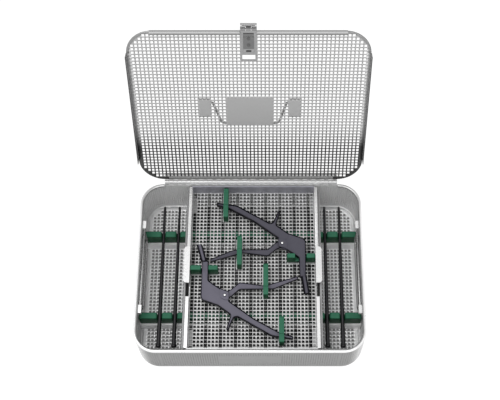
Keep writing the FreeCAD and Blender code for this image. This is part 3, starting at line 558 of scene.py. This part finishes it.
rim_z = RIM_TOP - RIM_WIRE / 2
rim_path = bent([
    (HINGE_LENGTH / 2, RIM_HALF[1], rim_z), (RIM_HALF[0], RIM_HALF[1], rim_z),
    (RIM_HALF[0], -RIM_HALF[1], rim_z), (-RIM_HALF[0], -RIM_HALF[1], rim_z),
    (-RIM_HALF[0], RIM_HALF[1], rim_z), (-HINGE_LENGTH / 2, RIM_HALF[1], rim_z),
], [RIM_BEND] * 4, 24)
add("rolled_rim", tube("rolled_rim", rim_path, RIM_WIRE / 2, (0, 0, 1)), "base",
    rim_steel, "base_rim")

# ---- Piano hinge ----------------------------------------------------------------
# Two stainless leaves with short rolled knuckles by turns on one pin; the fixed leaf is
# welded to the back wall and the other to the lid.
HINGE_AT = np.array([0.0, 121.5, 69.8])
OPEN = math.radians(112.0)
KNUCKLES, KNUCKLE, GAP, LEAF, SEAM = 40, 6.0, 0.15, 11.0, 0.06
HINGE_PIN, LEAF_TOP = 2.8, 2.25

# Faces of the hinge that look up get a painted shade, 0.55.
hinge_steel = steel("hinge_steel", 0.92, 0.76, 0.34, 0.5,
                    (lambda finish: finish.facing("Z") > 0.55, 0.55))


def at_hinge(x, y, z):
    """A point given from the hinge axis, for pieces that stay with the basket."""
    return np.stack(np.broadcast_arrays(x, y, z), -1) + HINGE_AT


def on_lid(x, y, z):
    """A point of the closed lid, from the hinge axis, turned back to where the lid stands."""
    turned = np.broadcast_arrays(x, y * math.cos(OPEN) + z * math.sin(OPEN),
                                 z * math.cos(OPEN) - y * math.sin(OPEN))
    return np.stack(turned, -1) + HINGE_AT


def boxes(name, sizes, place, ease=0.0):
    """Several blocks in one mesh, each (x, y, z, width, depth, height), edges eased."""
    corners = np.array([(x, y, z) for x in (0, 1) for y in (0, 1) for z in (0, 1)], float)
    sizes = np.array(sizes, float)
    points = sizes[:, None, :3] + corners[None] * sizes[:, None, 3:]
    block = np.array([(0, 1, 3, 2), (4, 6, 7, 5), (0, 4, 5, 1), (2, 3, 7, 6), (0, 2, 6, 4),
                      (1, 5, 7, 3)])
    faces = (block[None] + len(corners) * np.arange(len(sizes))[:, None, None]).reshape(-1, 4)
    flat = points.reshape(-1, 3)
    mesh = quads(name, place(flat[:, 0], flat[:, 1], flat[:, 2]), faces)
    if ease:
        work = bmesh.new()
        work.from_mesh(mesh)
        bmesh.ops.bevel(work, geom=work.edges[:], offset=ease * MM, segments=2, profile=0.5,
                        affect="EDGES")
        work.to_mesh(mesh)
        work.free()
        smoothed(mesh, 40)
    return mesh


def merge(name, *meshes):
    """Several meshes as one."""
    work = bmesh.new()
    for mesh in meshes:
        work.from_mesh(mesh)
    whole = bpy.data.meshes.new(name)
    work.to_mesh(whole)
    work.free()
    return whole


def bars(name, ends, radius, place, sides=20, lip=0.25):
    """Short round bars along X, each from (start, stop, y, z), with eased ends."""
    ends = np.array(ends, float)
    ring = np.array([0.02, 1 - lip / radius, 1, 1, 1 - lip / radius, 0.02]) * radius
    length = ends[:, 1] - ends[:, 0]
    none = 0 * length
    x = ends[:, :1] + np.stack([none, none, none + lip, length - lip, length, length], 1)
    angle = np.linspace(0, 2 * math.pi, sides, endpoint=False)
    y = ends[:, 2][:, None, None] + ring[None, :, None] * np.cos(angle)
    z = ends[:, 3][:, None, None] + ring[None, :, None] * np.sin(angle)
    x = np.broadcast_to(x[..., None], y.shape)
    index = np.arange(y.size).reshape(y.shape)
    following = np.roll(index, -1, 2)
    faces = np.stack([index[:, :-1], following[:, :-1], following[:, 1:], index[:, 1:]], -1)
    return quads(name, place(x.ravel(), y.ravel(), z.ravel()), faces.reshape(-1, 4), 40)


knuckle_pitch = HINGE_LENGTH / KNUCKLES
ROLL, TAB = KNUCKLE / 2, KNUCKLE / 2 + GAP
LEAF_WHOLE = LEAF + TAB - LEAF_TOP
for name, body, place, strip, tab in (
    ("hinge_base_leaf", "base", at_hinge, (-ROLL, -TAB - LEAF, METAL, LEAF_WHOLE),
     (-ROLL, -TAB, METAL, TAB)),
    ("hinge_lid_leaf", "lid", on_lid, (-TAB - LEAF, ROLL - METAL, LEAF_WHOLE, METAL),
     (-TAB, ROLL - METAL, TAB, METAL)),
):
    first = ("base", "lid").index(body)
    starts = -HINGE_LENGTH / 2 + np.arange(first, KNUCKLES, 2) * knuckle_pitch + SEAM / 2
    width = knuckle_pitch - SEAM
    blocks = [(-HINGE_LENGTH / 2, strip[0], strip[1], HINGE_LENGTH, strip[2], strip[3])]
    blocks += [(x, tab[0], tab[1], width, tab[2], tab[3]) for x in starts]
    leaf = boxes(name + "_sheet", blocks, place, 0.15)
    rolls = bars(name + "_rolls", [(x, x + width, 0, 0) for x in starts], ROLL, place)
    mesh = merge("piano_" + name, leaf, rolls)
    add("piano_" + name, mesh, body, hinge_steel, name)
pin = bars("hinge_pin_bar", [(-HINGE_LENGTH / 2, HINGE_LENGTH / 2, 0, 0)], HINGE_PIN / 2, at_hinge)
add("piano_hinge_pin", pin, "base", bright_steel, "hinge_pin")

# ---- Lid ------------------------------------------------------------------------
# The same punched sheet, with blank fields for a label, the handle's lugs and the
# latch, and a plain border. Its corners are cut round.
LID_HALF_WIDTH, LID_FRONT, LID_BACK = 150.1, -241.9, -3.8
LID_LIFT, LID_CORNER, LID_BORDER = 1.4, 33.0, 1.6
LABEL_FIELD, LATCH_FIELD = (-30.5, -141.6, 30.5, -101.6), (-10.0, LID_FRONT, 10.0, -209.0)
LUG_FIELDS = (-65.0, -137.0, -52.0, -114.0), (52.0, -137.0, 65.0, -114.0)
LATCH_WINDOW, LUG_INNER = (-9.6, -207.5, 9.6, -198.2), 51.0
LID_HOLE_WIDE, LID_HOLE_TALL = 3.3, 3.95
LID_SHADE, BORDER_AT, BORDER_LIT, CORNER_BAND = (158.0, 125.0), 143.9, (128.0, 165.0), 4.0
FOOT_HALF, FOOT_TOP = 112.0, 77.2
corner_middle, corner_end = on_lid(
    LID_HALF_WIDTH - LID_CORNER, np.array([LID_FRONT + LID_CORNER, LID_FRONT]), 0.0)


def lid_border_painted_light(finish):
    """1 where the plain side borders of the lid get a painted light, less towards the hinge, else
    0.
    """
    return (finish.off_centre("X") > BORDER_AT) * finish.along("Z", *BORDER_LIT)


def lid_foot(finish):
    """1 on the plain border next to the hinge, else 0."""
    return finish.within("X", -FOOT_HALF, FOOT_HALF) * finish.within("Z", 0.0, FOOT_TOP)


def lid_corner_painted_shade(finish):
    """1 where the plain band of the lid's two rounded corners gets a painted shade, else 0."""
    across = (finish.off_centre("X") - corner_middle[0]).math("MAXIMUM", 0.0)
    up = finish.along("Z", corner_middle[2], corner_end[2]).math("MAXIMUM", 0.0) * LID_CORNER
    return (up > 0.0) * ((across * across + up * up) > (LID_CORNER - CORNER_BAND) ** 2)


# The lid gets a painted shade, 0.06, towards the hinge, from which the border next to the hinge is
# mostly kept at 0.36. Its side borders get a painted light, its rounded corner bands a painted
# shade, and the walls of its holes are painted dark as shade inside them.
lid_painted_shade = (lambda finish: finish.along("Z", *LID_SHADE), 0.06)
lid_steel = (steel("lid_steel", 0.50, 0.40, 0.42, 0.6,
                   lid_painted_shade, (lid_border_painted_light, 0.66), (lid_foot, 0.36), (lid_corner_painted_shade, 0.30)),
             steel("lid_steel_edges", 0.22, 0.15, 0.6, 0.3))
lid_centre = (LID_FRONT + LID_BACK) / 2
lid_mesh = flat_plate(
    "lid_sheet", (LID_HALF_WIDTH, (LID_BACK - LID_FRONT) / 2), (0, lid_centre), LID_CORNER,
    hole_lines(-LID_HALF_WIDTH, LID_HALF_WIDTH, middles(58), LID_HOLE_WIDE),
    hole_lines(LID_FRONT, LID_BACK, middles(46, PITCH, lid_centre), LID_HOLE_TALL),
    LID_BORDER, lid_steel, lambda x, y, depth: on_lid(x, y, LID_LIFT + METAL - depth),
    (LABEL_FIELD, LATCH_FIELD, *LUG_FIELDS), (LATCH_WINDOW,))
add("lid_sheet", lid_mesh, "lid", None, "lid_panel")


def merged(node, name, shape=None, smooth=35):
    """A copy of a machined solid with whole faces, which shape may change further."""
    work = bmesh.new()
    work.from_mesh(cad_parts[node].data)
    bmesh.ops.remove_doubles(work, verts=work.verts, dist=MITE)
    bmesh.ops.dissolve_limit(work, angle_limit=math.radians(2), verts=work.verts, edges=work.edges)
    if shape:
        shape(work)
    mesh = bpy.data.meshes.new(name)
    work.to_mesh(mesh)
    work.free()
    return smoothed(mesh, smooth)


def eased(node, name, width, body, material, segments=2):
    """A merged copy of a machined solid with its edges eased by a small bevel."""
    piece = add(name, merged(node, name), body, material, node)
    bevel = piece.modifiers.new("eased_edges", "BEVEL")
    bevel.width, bevel.segments = width * MM, segments
    bevel.limit_method, bevel.angle_limit = "ANGLE", math.radians(35)
    bevel.harden_normals = True


# Half the depth of a flange, and the lit band of the front one, from the lid's underside.
FLANGE_HALF, GLEAM = -5.0, (-5.0, -1.6)
flange_end_shade = (lambda finish: finish.facing("Y") < -0.3, 0.05)


def above_lid(finish, height):
    """How far a point is above a height over the lid's underside, in millimetres."""
    start = on_lid(0, 0, height)
    return (finish.along("Y", start[1], start[1] + 1) * math.sin(OPEN)
            + finish.along("Z", start[2], start[2] + 1) * math.cos(OPEN))


def flange_root(finish):
    """1 on the half of a flange next to the lid, where light reaches it, else 0."""
    return above_lid(finish, FLANGE_HALF) > 0.0


def flange_gleam(finish):
    """1 on the band of the front flange that catches the lamp, else 0."""
    return (above_lid(finish, GLEAM[0]) > 0.0) * (above_lid(finish, GLEAM[1]) < 0.0)


# The front flange gets a painted highlight on its lit band; the side flanges are painted dark as
# shade, lighter on the root half that light reaches; all their end faces get a painted shade.
front_flange_steel = steel("front_flange_steel", 0.39, 0.31, 0.45, 0.3,
                           (flange_gleam, 0.62), flange_end_shade)
side_flange_steel = steel("side_flange_steel", 0.10, 0.06, 0.45, 0.3,
                          (flange_root, 0.36), flange_end_shade)
for name, metal in (("front", front_flange_steel), ("left", side_flange_steel),
                    ("right", side_flange_steel)):
    eased("lid_flange_" + name, "turned_lid_flange_" + name, 0.12, "lid", metal)

# ---- Latch ----------------------------------------------------------------------
# A pressed plate with a window on the lid's inner face, two rivets, and a flap that
# swings on a pin in front of the lid's edge.
TONGUE, NOTCH = ((-6.6, 6.6), (271.0, 291.5)), ((-3.2, 3.2), (267.2, 269.6))
NECK, KNUCKLE_TOP, KNUCKLE_END = (298.3, 299.6), (297.4, 298.3), 8.4
FOLD = ((-6.2, 6.2), (290.4, 291.9))


def pressed(finish):
    """Places on the latch plate that get a painted shade: its sunk tongue, the notch below and the
    fold above.
    """
    tongue, notch, fold = (finish.within("X", *across) * finish.within("Z", *up)
                           for across, up in (TONGUE, NOTCH, FOLD))
    return tongue * 0.55 + notch + fold * 0.45


def knuckle_end_shade(finish):
    """1 on the open ends of the flap's knuckles, which get a painted shade, else 0."""
    return (finish.off_centre("X") > KNUCKLE_END) * (finish.along("Z", 0.0, 1.0) < NECK[0])


# The flap's neck is painted white, as painted light where the backdrop shows through the gap; the
# top of the knuckles gets a painted shade.
neck_painted_light = (lambda finish: finish.within("Z", *NECK), 1.0)
knuckle_top_shade = (lambda finish: finish.within("Z", *KNUCKLE_TOP), 0.12)
latch_steel = steel("latch_steel", 0.40, (0.32, 0.32, 0.325), 0.36, 0.6,
                    (pressed, 0.05), knuckle_top_shade)
flap_steel = steel("flap_steel", 0.44, 0.35, 0.36, 0.6,
                   neck_painted_light, knuckle_top_shade, (knuckle_end_shade, 0.03))
# The rivets are painted dark, as painted shade in the dimples they stand for.
rivet_steel_painted_shade = steel("rivet_steel_painted_shade", 0.16, 0.09, 0.36, 0.6)
eased("latch_plate", "pressed_latch_plate", 0.2, "lid", latch_steel)
eased("latch_flap", "pressed_latch_flap", 0.25, "latch", flap_steel)
eased("latch_rivets", "turned_latch_rivets", 0.2, "lid", rivet_steel_painted_shade)
eased("latch_pin", "turned_latch_pin", 0.2, "lid", flap_steel)

# ---- Lid handle -----------------------------------------------------------------
# A bent wire bail that hangs from two welded lugs on the outer face of the lid.
HANDLE_WIRE, HANDLE_REACH, HANDLE_GRIP, HANDLE_PIVOT = 3.6, 52.0, 38.0, -131.0
HANDLE_OUT = LID_LIFT + METAL + 4.0

for name in ("handle_lug_left", "handle_lug_right"):
    eased(name, "welded_" + name, 0.25, "lid", lid_steel[0])
hang = on_lid(0.0, HANDLE_PIVOT, HANDLE_OUT)
stub, curve = LUG_INNER + 2.0, HANDLE_WIRE * 2
bail = bent([
    (-stub, 0, 0), (-LUG_INNER + HANDLE_WIRE, 0, 0), (-HANDLE_GRIP, 0, -HANDLE_REACH),
    (HANDLE_GRIP, 0, -HANDLE_REACH), (LUG_INNER - HANDLE_WIRE, 0, 0), (stub, 0, 0),
], [HANDLE_WIRE * 0.9, curve, curve, HANDLE_WIRE * 0.9]) + hang
handle_steel = steel("handle_steel", 0.40, 0.28, 0.28)
add("wire_lid_handle", tube("wire_lid_handle", bail, HANDLE_WIRE / 2, (0, 1, 0)), "lid_bail",
    handle_steel, "lid_handle")

# ---- Side handles ---------------------------------------------------------------
# A welded wire loop on each side hangs inside the basket from two lugs below the rim.
SIDE_X, SIDE_Z, SIDE_WIRE, SIDE_AXLE = 143.2, 62.9, 3.0, 3.6
SIDE_LEG, SIDE_DROP, SIDE_AXLE_HALF = 50.0, 31.5, 65.0

for side, x in (("left", -SIDE_X), ("right", SIDE_X)):
    name = f"side_handle_{side}"
    loop = bent([(x, -SIDE_LEG, SIDE_Z), (x, -SIDE_LEG, SIDE_Z - SIDE_DROP),
                 (x, SIDE_LEG, SIDE_Z - SIDE_DROP), (x, SIDE_LEG, SIDE_Z)], [2 * SIDE_WIRE] * 2)
    axle = np.array([(x, -SIDE_AXLE_HALF, SIDE_Z), (x, 0, SIDE_Z), (x, SIDE_AXLE_HALF, SIDE_Z)])
    mesh = merge("wire_" + name, tube("loop", loop, SIDE_WIRE / 2, (1, 0, 0)),
                 tube("axle", axle, SIDE_AXLE / 2, (1, 0, 0)))
    mesh.shade_smooth()
    add("wire_" + name, mesh, f"{side}_bail", handle_steel, name)
    name = f"side_lugs_{side}"
    eased(name, "welded_" + name, 0.5, "base", bright_steel)

# ---- Cross rails and rod holders ------------------------------------------------
# Two bent steel channels on the floor carry moulded silicone bars whose rounded blocks
# keep the rods apart.
RUBBER_LIGHT, RUBBER_DARK = (0.045, 0.175, 0.106), (0.026, 0.125, 0.072)
# The third tone is a nearly black green painted shade on the upright faces.
RUBBER_PAINTED_SHADE = (0.003, 0.050, 0.020)
BLOOM, SKIN, SKIN_DEPTH = 60.0, 1600.0, 0.00005


def silicone(name):
    """Moulded silicone: deep green, satin, with a fine even skin and faint bloom.

    The bloom shows on what faces up; the upright faces get a nearly black green painted shade.
    """
    finish = Finish(name)
    bloom = finish.mottle(BLOOM, 4.0)
    skin = finish.mottle(SKIN, 1.0)
    top = finish.blend(bloom, RUBBER_DARK, RUBBER_LIGHT)
    return finish.surface(
        Base_Color=finish.blend(finish.facing("Z") * 1.4 - 0.3, RUBBER_PAINTED_SHADE, top),
        Roughness=bloom * 0.12 + 0.46, Specular_IOR_Level=0.15,
        bump=skin, strength=0.15, depth=SKIN_DEPTH)


green_silicone = silicone("green_silicone")
# The rails are painted nearly white, as painted light on the lips beside the silicone that lie in
# its shade.
rail_steel_painted_light = steel("rail_steel_painted_light", 1.0, 0.92, 0.40, 0.3)
for name in ("cross_rail_back", "cross_rail_front"):
    eased(name, "bent_" + name, 0.2, "base", rail_steel_painted_light)
for name in ("rod_holder_back", "rod_holder_front"):
    eased(name, "moulded_" + name, 1.8, "base", green_silicone, 3)

# ---- Rods -----------------------------------------------------------------------
# Four tapered rods with a dark coat; each has a small collar at its front end.
ROD_BACK, ROD_Z = 100.0, 34.0
ROD_AT = {"rod_far_left": -120.1, "rod_near_left": -99.8,
          "rod_near_right": 101.6, "rod_far_right": 121.9}
ROD_PROFILE = [
    (0, 0.05), (0, 1.0), (0.3, 1.4), (0.9, 1.65), (1.8, 1.7), (198.0, 2.9), (198.2, 3.3),
    (198.6, 3.7), (201.0, 3.7), (201.6, 3.4), (202.0, 2.9), (202.0, 0.05)]
ROD_LIGHT, ROD_DARK = (0.032, 0.031, 0.034), (0.018, 0.018, 0.020)
# The third tone is a nearly black painted shade where the rods don't face up.
ROD_PAINTED_SHADE = (0.004, 0.004, 0.005)
DRIFT, COAT_DEPTH = 35.0, 0.00004


def dark_coat(name, light, dark, side, rough, grain, gloss):
    """A dark coating on metal, slightly uneven, with a nearly black painted shade where it doesn't
    face up.
    """
    finish = Finish(name)
    drift = finish.mottle(DRIFT)
    speck = finish.mottle(grain, 2.0)
    top = finish.blend(drift * 0.7 + speck * 0.3, dark, light)
    return finish.surface(
        Base_Color=finish.blend(finish.facing("Z") * 6.0 - 5.0, side, top),
        Roughness=speck * 0.16 + (rough - 0.08), Specular_IOR_Level=gloss,
        bump=speck, strength=0.12, depth=COAT_DEPTH)


rod_coat = dark_coat("rod_coat", ROD_LIGHT, ROD_DARK, ROD_PAINTED_SHADE, 0.35, 900.0, 0.3)


def turned(name, profile, place, sides=28):
    """A turned piece: (distance, radius) pairs spun round its axis."""
    profile = np.array(profile, float)
    angle = np.linspace(0, 2 * math.pi, sides, endpoint=False)
    along = np.repeat(profile[:, :1], sides, 1)
    index = np.arange(along.size).reshape(along.shape)
    following = np.roll(index, -1, 1)
    faces = np.stack([index[:-1], index[1:], following[1:], following[:-1]], -1).reshape(-1, 4)
    points = place(along, profile[:, 1:] * np.cos(angle), profile[:, 1:] * np.sin(angle))
    return quads(name, points, faces, 50)


for name, x in ROD_AT.items():
    mesh = turned("coated_" + name, ROD_PROFILE,
                  lambda along, a, b: np.stack([x + a, ROD_BACK - along, ROD_Z + b], -1))
    add("coated_" + name, mesh, name + "_body", rod_coat, name)

# ---- Dividers -------------------------------------------------------------------
# Upright sheets beside the inner tray, with ledges that carry it.
divider_steel = steel("divider_steel", 0.34, (0.26, 0.26, 0.265), 0.4, 0.4)
for name in ("divider_left", "divider_right"):
    eased(name, "bent_" + name, 0.2, "base", divider_steel)

# ---- Inner tray -----------------------------------------------------------------
# A lift-out tray of the same punched sheet; every fourth column of its holes is larger.
# Its walls end in a flat lip, with a grip over a finger notch on each side.
TRAY_LOW, TRAY_HIGH = np.array([-80.0, -112.2]), np.array([86.5, 115.2])
TRAY_FLOOR, TRAY_PITCH, TRAY_HOLE, TRAY_WIDE = 47.6, 4.87, 3.45, 4.45
TRAY_COLUMNS, TRAY_ROWS = 34, 45
WIDE_EVERY = 4

# The walls of the tray floor's holes are painted nearly black as shade inside them.
tray_floor_steel = (steel("tray_floor_steel", 0.63, 0.50, 0.42, 0.5),
                    steel("tray_floor_steel_edges", 0.10, 0.06, 0.6, 0.3))
tray_middle = (TRAY_LOW + TRAY_HIGH) / 2
columns = middles(TRAY_COLUMNS, TRAY_PITCH, tray_middle[0])
rows = middles(TRAY_ROWS, PITCH, tray_middle[1])
wide = np.arange(TRAY_COLUMNS) % WIDE_EVERY == 0
across = hole_lines(TRAY_LOW[0], TRAY_HIGH[0], columns, np.where(wide, TRAY_WIDE, TRAY_HOLE))
# Each row has four lines: a wide hole reaches from the first to the last, the others from
# the second to the third.
steps = np.array([-TRAY_WIDE, -TRAY_HOLE, TRAY_HOLE, TRAY_WIDE]) / 2
away = np.concatenate([[TRAY_LOW[1]], (rows[:, None] + steps).ravel(), [TRAY_HIGH[1]]])
opened = np.zeros((len(across) - 1, len(away) - 1), bool)
opened[1::2, 2::4] = True
opened[1::2, 1::4] = opened[1::2, 3::4] = wide[:, None]
x, y = np.meshgrid(across, away, indexing="ij")
tray_top = np.stack([x, y, 0 * x + TRAY_FLOOR + METAL], -1)
tray_mesh = sheet_of_metal("tray_floor", tray_top, tray_top - [0, 0, METAL], ~opened,
                           tray_floor_steel)
add("tray_floor", tray_mesh, "insert", None, "insert_floor")
for name in ("insert_wall_left", "insert_wall_right"):
    eased(name, "bent_" + name, 0.2, "insert", bright_steel)
tray_steel = steel("tray_steel", 0.62, (0.46, 0.46, 0.465), 0.32)
shaded_steel = steel("shaded_steel", (0.40, 0.40, 0.45), (0.27, 0.27, 0.31), 0.4, 0.6)
for name, metal in (("insert_wall_front", tray_steel), ("insert_wall_back", shaded_steel)):
    eased(name, "bent_" + name, 0.2, "insert", metal)

# ---- Instrument holders ---------------------------------------------------------
# Moulded silicone bars on steel feet. The four that lie fore and aft close over the
# instrument with two soft lips; the two cross ones hold the square shafts from below.
HOLDER_WIDTH, HOLDER_TOP, HOLDER_BASE, SEAT = 6.5, 67.0, 49.2, 54.7
LIP_UNDER, SLIT = 62.4, 0.35
# Each one's middle in X, its two ends in Y, and the two ends of the room in it.
LIPPED = {
    "holder_back_arm": (-34.0, 70.3, 113.7, 84.0, 93.5),
    "holder_right_lever": (-14.7, 1.1, 43.4, 16.5, 32.5),
    "holder_left_lever": (20.4, -40.6, 3.4, -36.8, -21.0),
    "holder_front_arm": (40.9, -104.3, -69.5, -98.5, -87.5),
}


def bar_of_rubber(name, profile, width, place, ease):
    """A flat outline (length, height) given a width, with its edges rounded over."""
    profile = np.array(profile, float)
    count = len(profile)
    points = np.concatenate([place(profile[:, 0], profile[:, 1], -width / 2),
                             place(profile[:, 0], profile[:, 1], width / 2)]) * MM
    index = list(range(count))
    sides = [(a, b, b + count, a + count) for a, b in zip(index, index[1:] + index[:1])]
    far_side = [a + count for a in reversed(index)]
    mesh = bpy.data.meshes.new(name)
    mesh.from_pydata([tuple(p) for p in points], [], [index, far_side] + sides)
    work = bmesh.new()
    work.from_mesh(mesh)
    bmesh.ops.recalc_face_normals(work, faces=work.faces)
    rims = [e for e in work.edges if any(len(f.verts) > 4 for f in e.link_faces)]
    bmesh.ops.bevel(work, geom=rims, offset=ease * MM, segments=3, profile=0.6, affect="EDGES",
                    clamp_overlap=True)
    work.to_mesh(mesh)
    work.free()
    return smoothed(mesh, 50)


for name, (x, low, high, slot_low, slot_high) in LIPPED.items():
    middle = (slot_low + slot_high) / 2
    outline = bent([
        (middle + SLIT / 2, HOLDER_TOP - 0.2), (middle + SLIT / 2, LIP_UNDER),
        (slot_high, LIP_UNDER), (slot_high, SEAT), (slot_low, SEAT), (slot_low, LIP_UNDER),
        (middle - SLIT / 2, LIP_UNDER), (middle - SLIT / 2, HOLDER_TOP),
        (low, HOLDER_TOP), (low, HOLDER_BASE), (high, HOLDER_BASE), (high, HOLDER_TOP),
        (middle + SLIT / 2, HOLDER_TOP),
    ], [0.3, 1, 1, 1, 1, 0.3, 0.1, 2.5, 0.3, 0.3, 2.5], 5)[:-1]
    mesh = bar_of_rubber("moulded_" + name, outline, HOLDER_WIDTH,
                         lambda along, up, across: np.stack(
                             [x + across + 0 * along, along, up], -1), 0.9)
    add("moulded_" + name, mesh, "insert", green_silicone, name)
for name in ("holder_left_shaft", "holder_right_shaft"):
    eased(name, "moulded_" + name, 0.9, "insert", green_silicone, 3)
eased("holder_feet", "welded_holder_feet", 0.15, "insert", tray_steel)

# ---- Instruments ----------------------------------------------------------------
# Two alike, one turned half round: a dark coated frame with a spur and a barrel, and a
# lever on a bright pivot screw.
# Each one's side, the way its barrel points, the barrel's lean, and its two tones; the right one's
# darker tones are a painted shade.
COATS = (("left", 1, 6.5, (0.180, 0.172, 0.215), (0.125, 0.121, 0.150)),
         ("right", -1, 3.3, (0.110, 0.106, 0.132), (0.078, 0.076, 0.095)))
# A nearly black painted shade where the instruments don't face up.
COAT_PAINTED_SHADE = (0.003, 0.003, 0.006)
# Steps of the rounded edges: how far each is set in, and how far its outline sinks.
CROWN = {"frame": ((0.5, 1.4), (0.6, 0.5)), "lever": ((0.3, 1.2), (0.3, 0.3))}
LEVEL, BARREL_END = 0.999, 0.1
SCREWS, SCREW_Z = {"left": (-33.2, -39.2), "right": (42.4, 34.4)}, 55.0
SCREW_PROFILE = [
    (0, 0.05), (0, 1.5), (6.6, 1.6), (7.0, 1.55), (7.3, 1.2), (7.45, 0.6), (7.5, 0.05)]


def crowned(work, part="lever"):
    """Rounds the upper edges over: the top is inset by steps, and each old outline sinks."""
    level = [f for f in work.faces if f.normal.z > LEVEL]
    height = max(v.co.z for f in level if len(f.verts) > 20 for v in f.verts)
    tops = [f for f in level if abs(f.calc_center_median().z - height) < 10 * MITE]
    for inset, sink in CROWN[part]:
        edges = {e for f in tops for e in f.edges if any(g not in tops for g in e.link_faces)}
        rim = {v for e in edges for v in e.verts}
        bmesh.ops.inset_region(work, faces=tops, thickness=inset * MM, use_even_offset=False)
        for vertex in rim:
            vertex.co.z -= sink * MM


def leaning(way, lean):
    """A shape that crowns the frame and moves the far end of its barrel outward."""
    def shape(work):
        crowned(work, "frame")
        end = max(v.co.y * way for v in work.verts)
        for vertex in work.verts:
            if vertex.co.y * way > end - BARREL_END * MM:
                vertex.co.x -= way * lean * MM
    return shape


for side, way, lean, light, dark in COATS:
    coat = dark_coat(f"instrument_coat_{side}", light, dark, COAT_PAINTED_SHADE, 0.46, 700.0, 0.10)
    for part, shape, body in (("frame", leaning(way, lean), "instrument"),
                              ("lever", crowned, "lever")):
        node, name = f"instrument_{part}_{side}", f"machined_{part}_{side}"
        add(name, merged(node, name, shape, 18), f"{body}_{side}", coat, node)
screw_steel = steel("screw_steel", 0.95, 0.8, 0.2)
for side, (x, y) in SCREWS.items():
    node = f"pivot_screw_{side}"
    mesh = turned("turned_" + node, SCREW_PROFILE,
                  lambda along, a, b: np.stack([x + a, y - b, SCREW_Z + along], -1))
    add("turned_" + node, mesh, f"instrument_{side}", screw_steel, node)
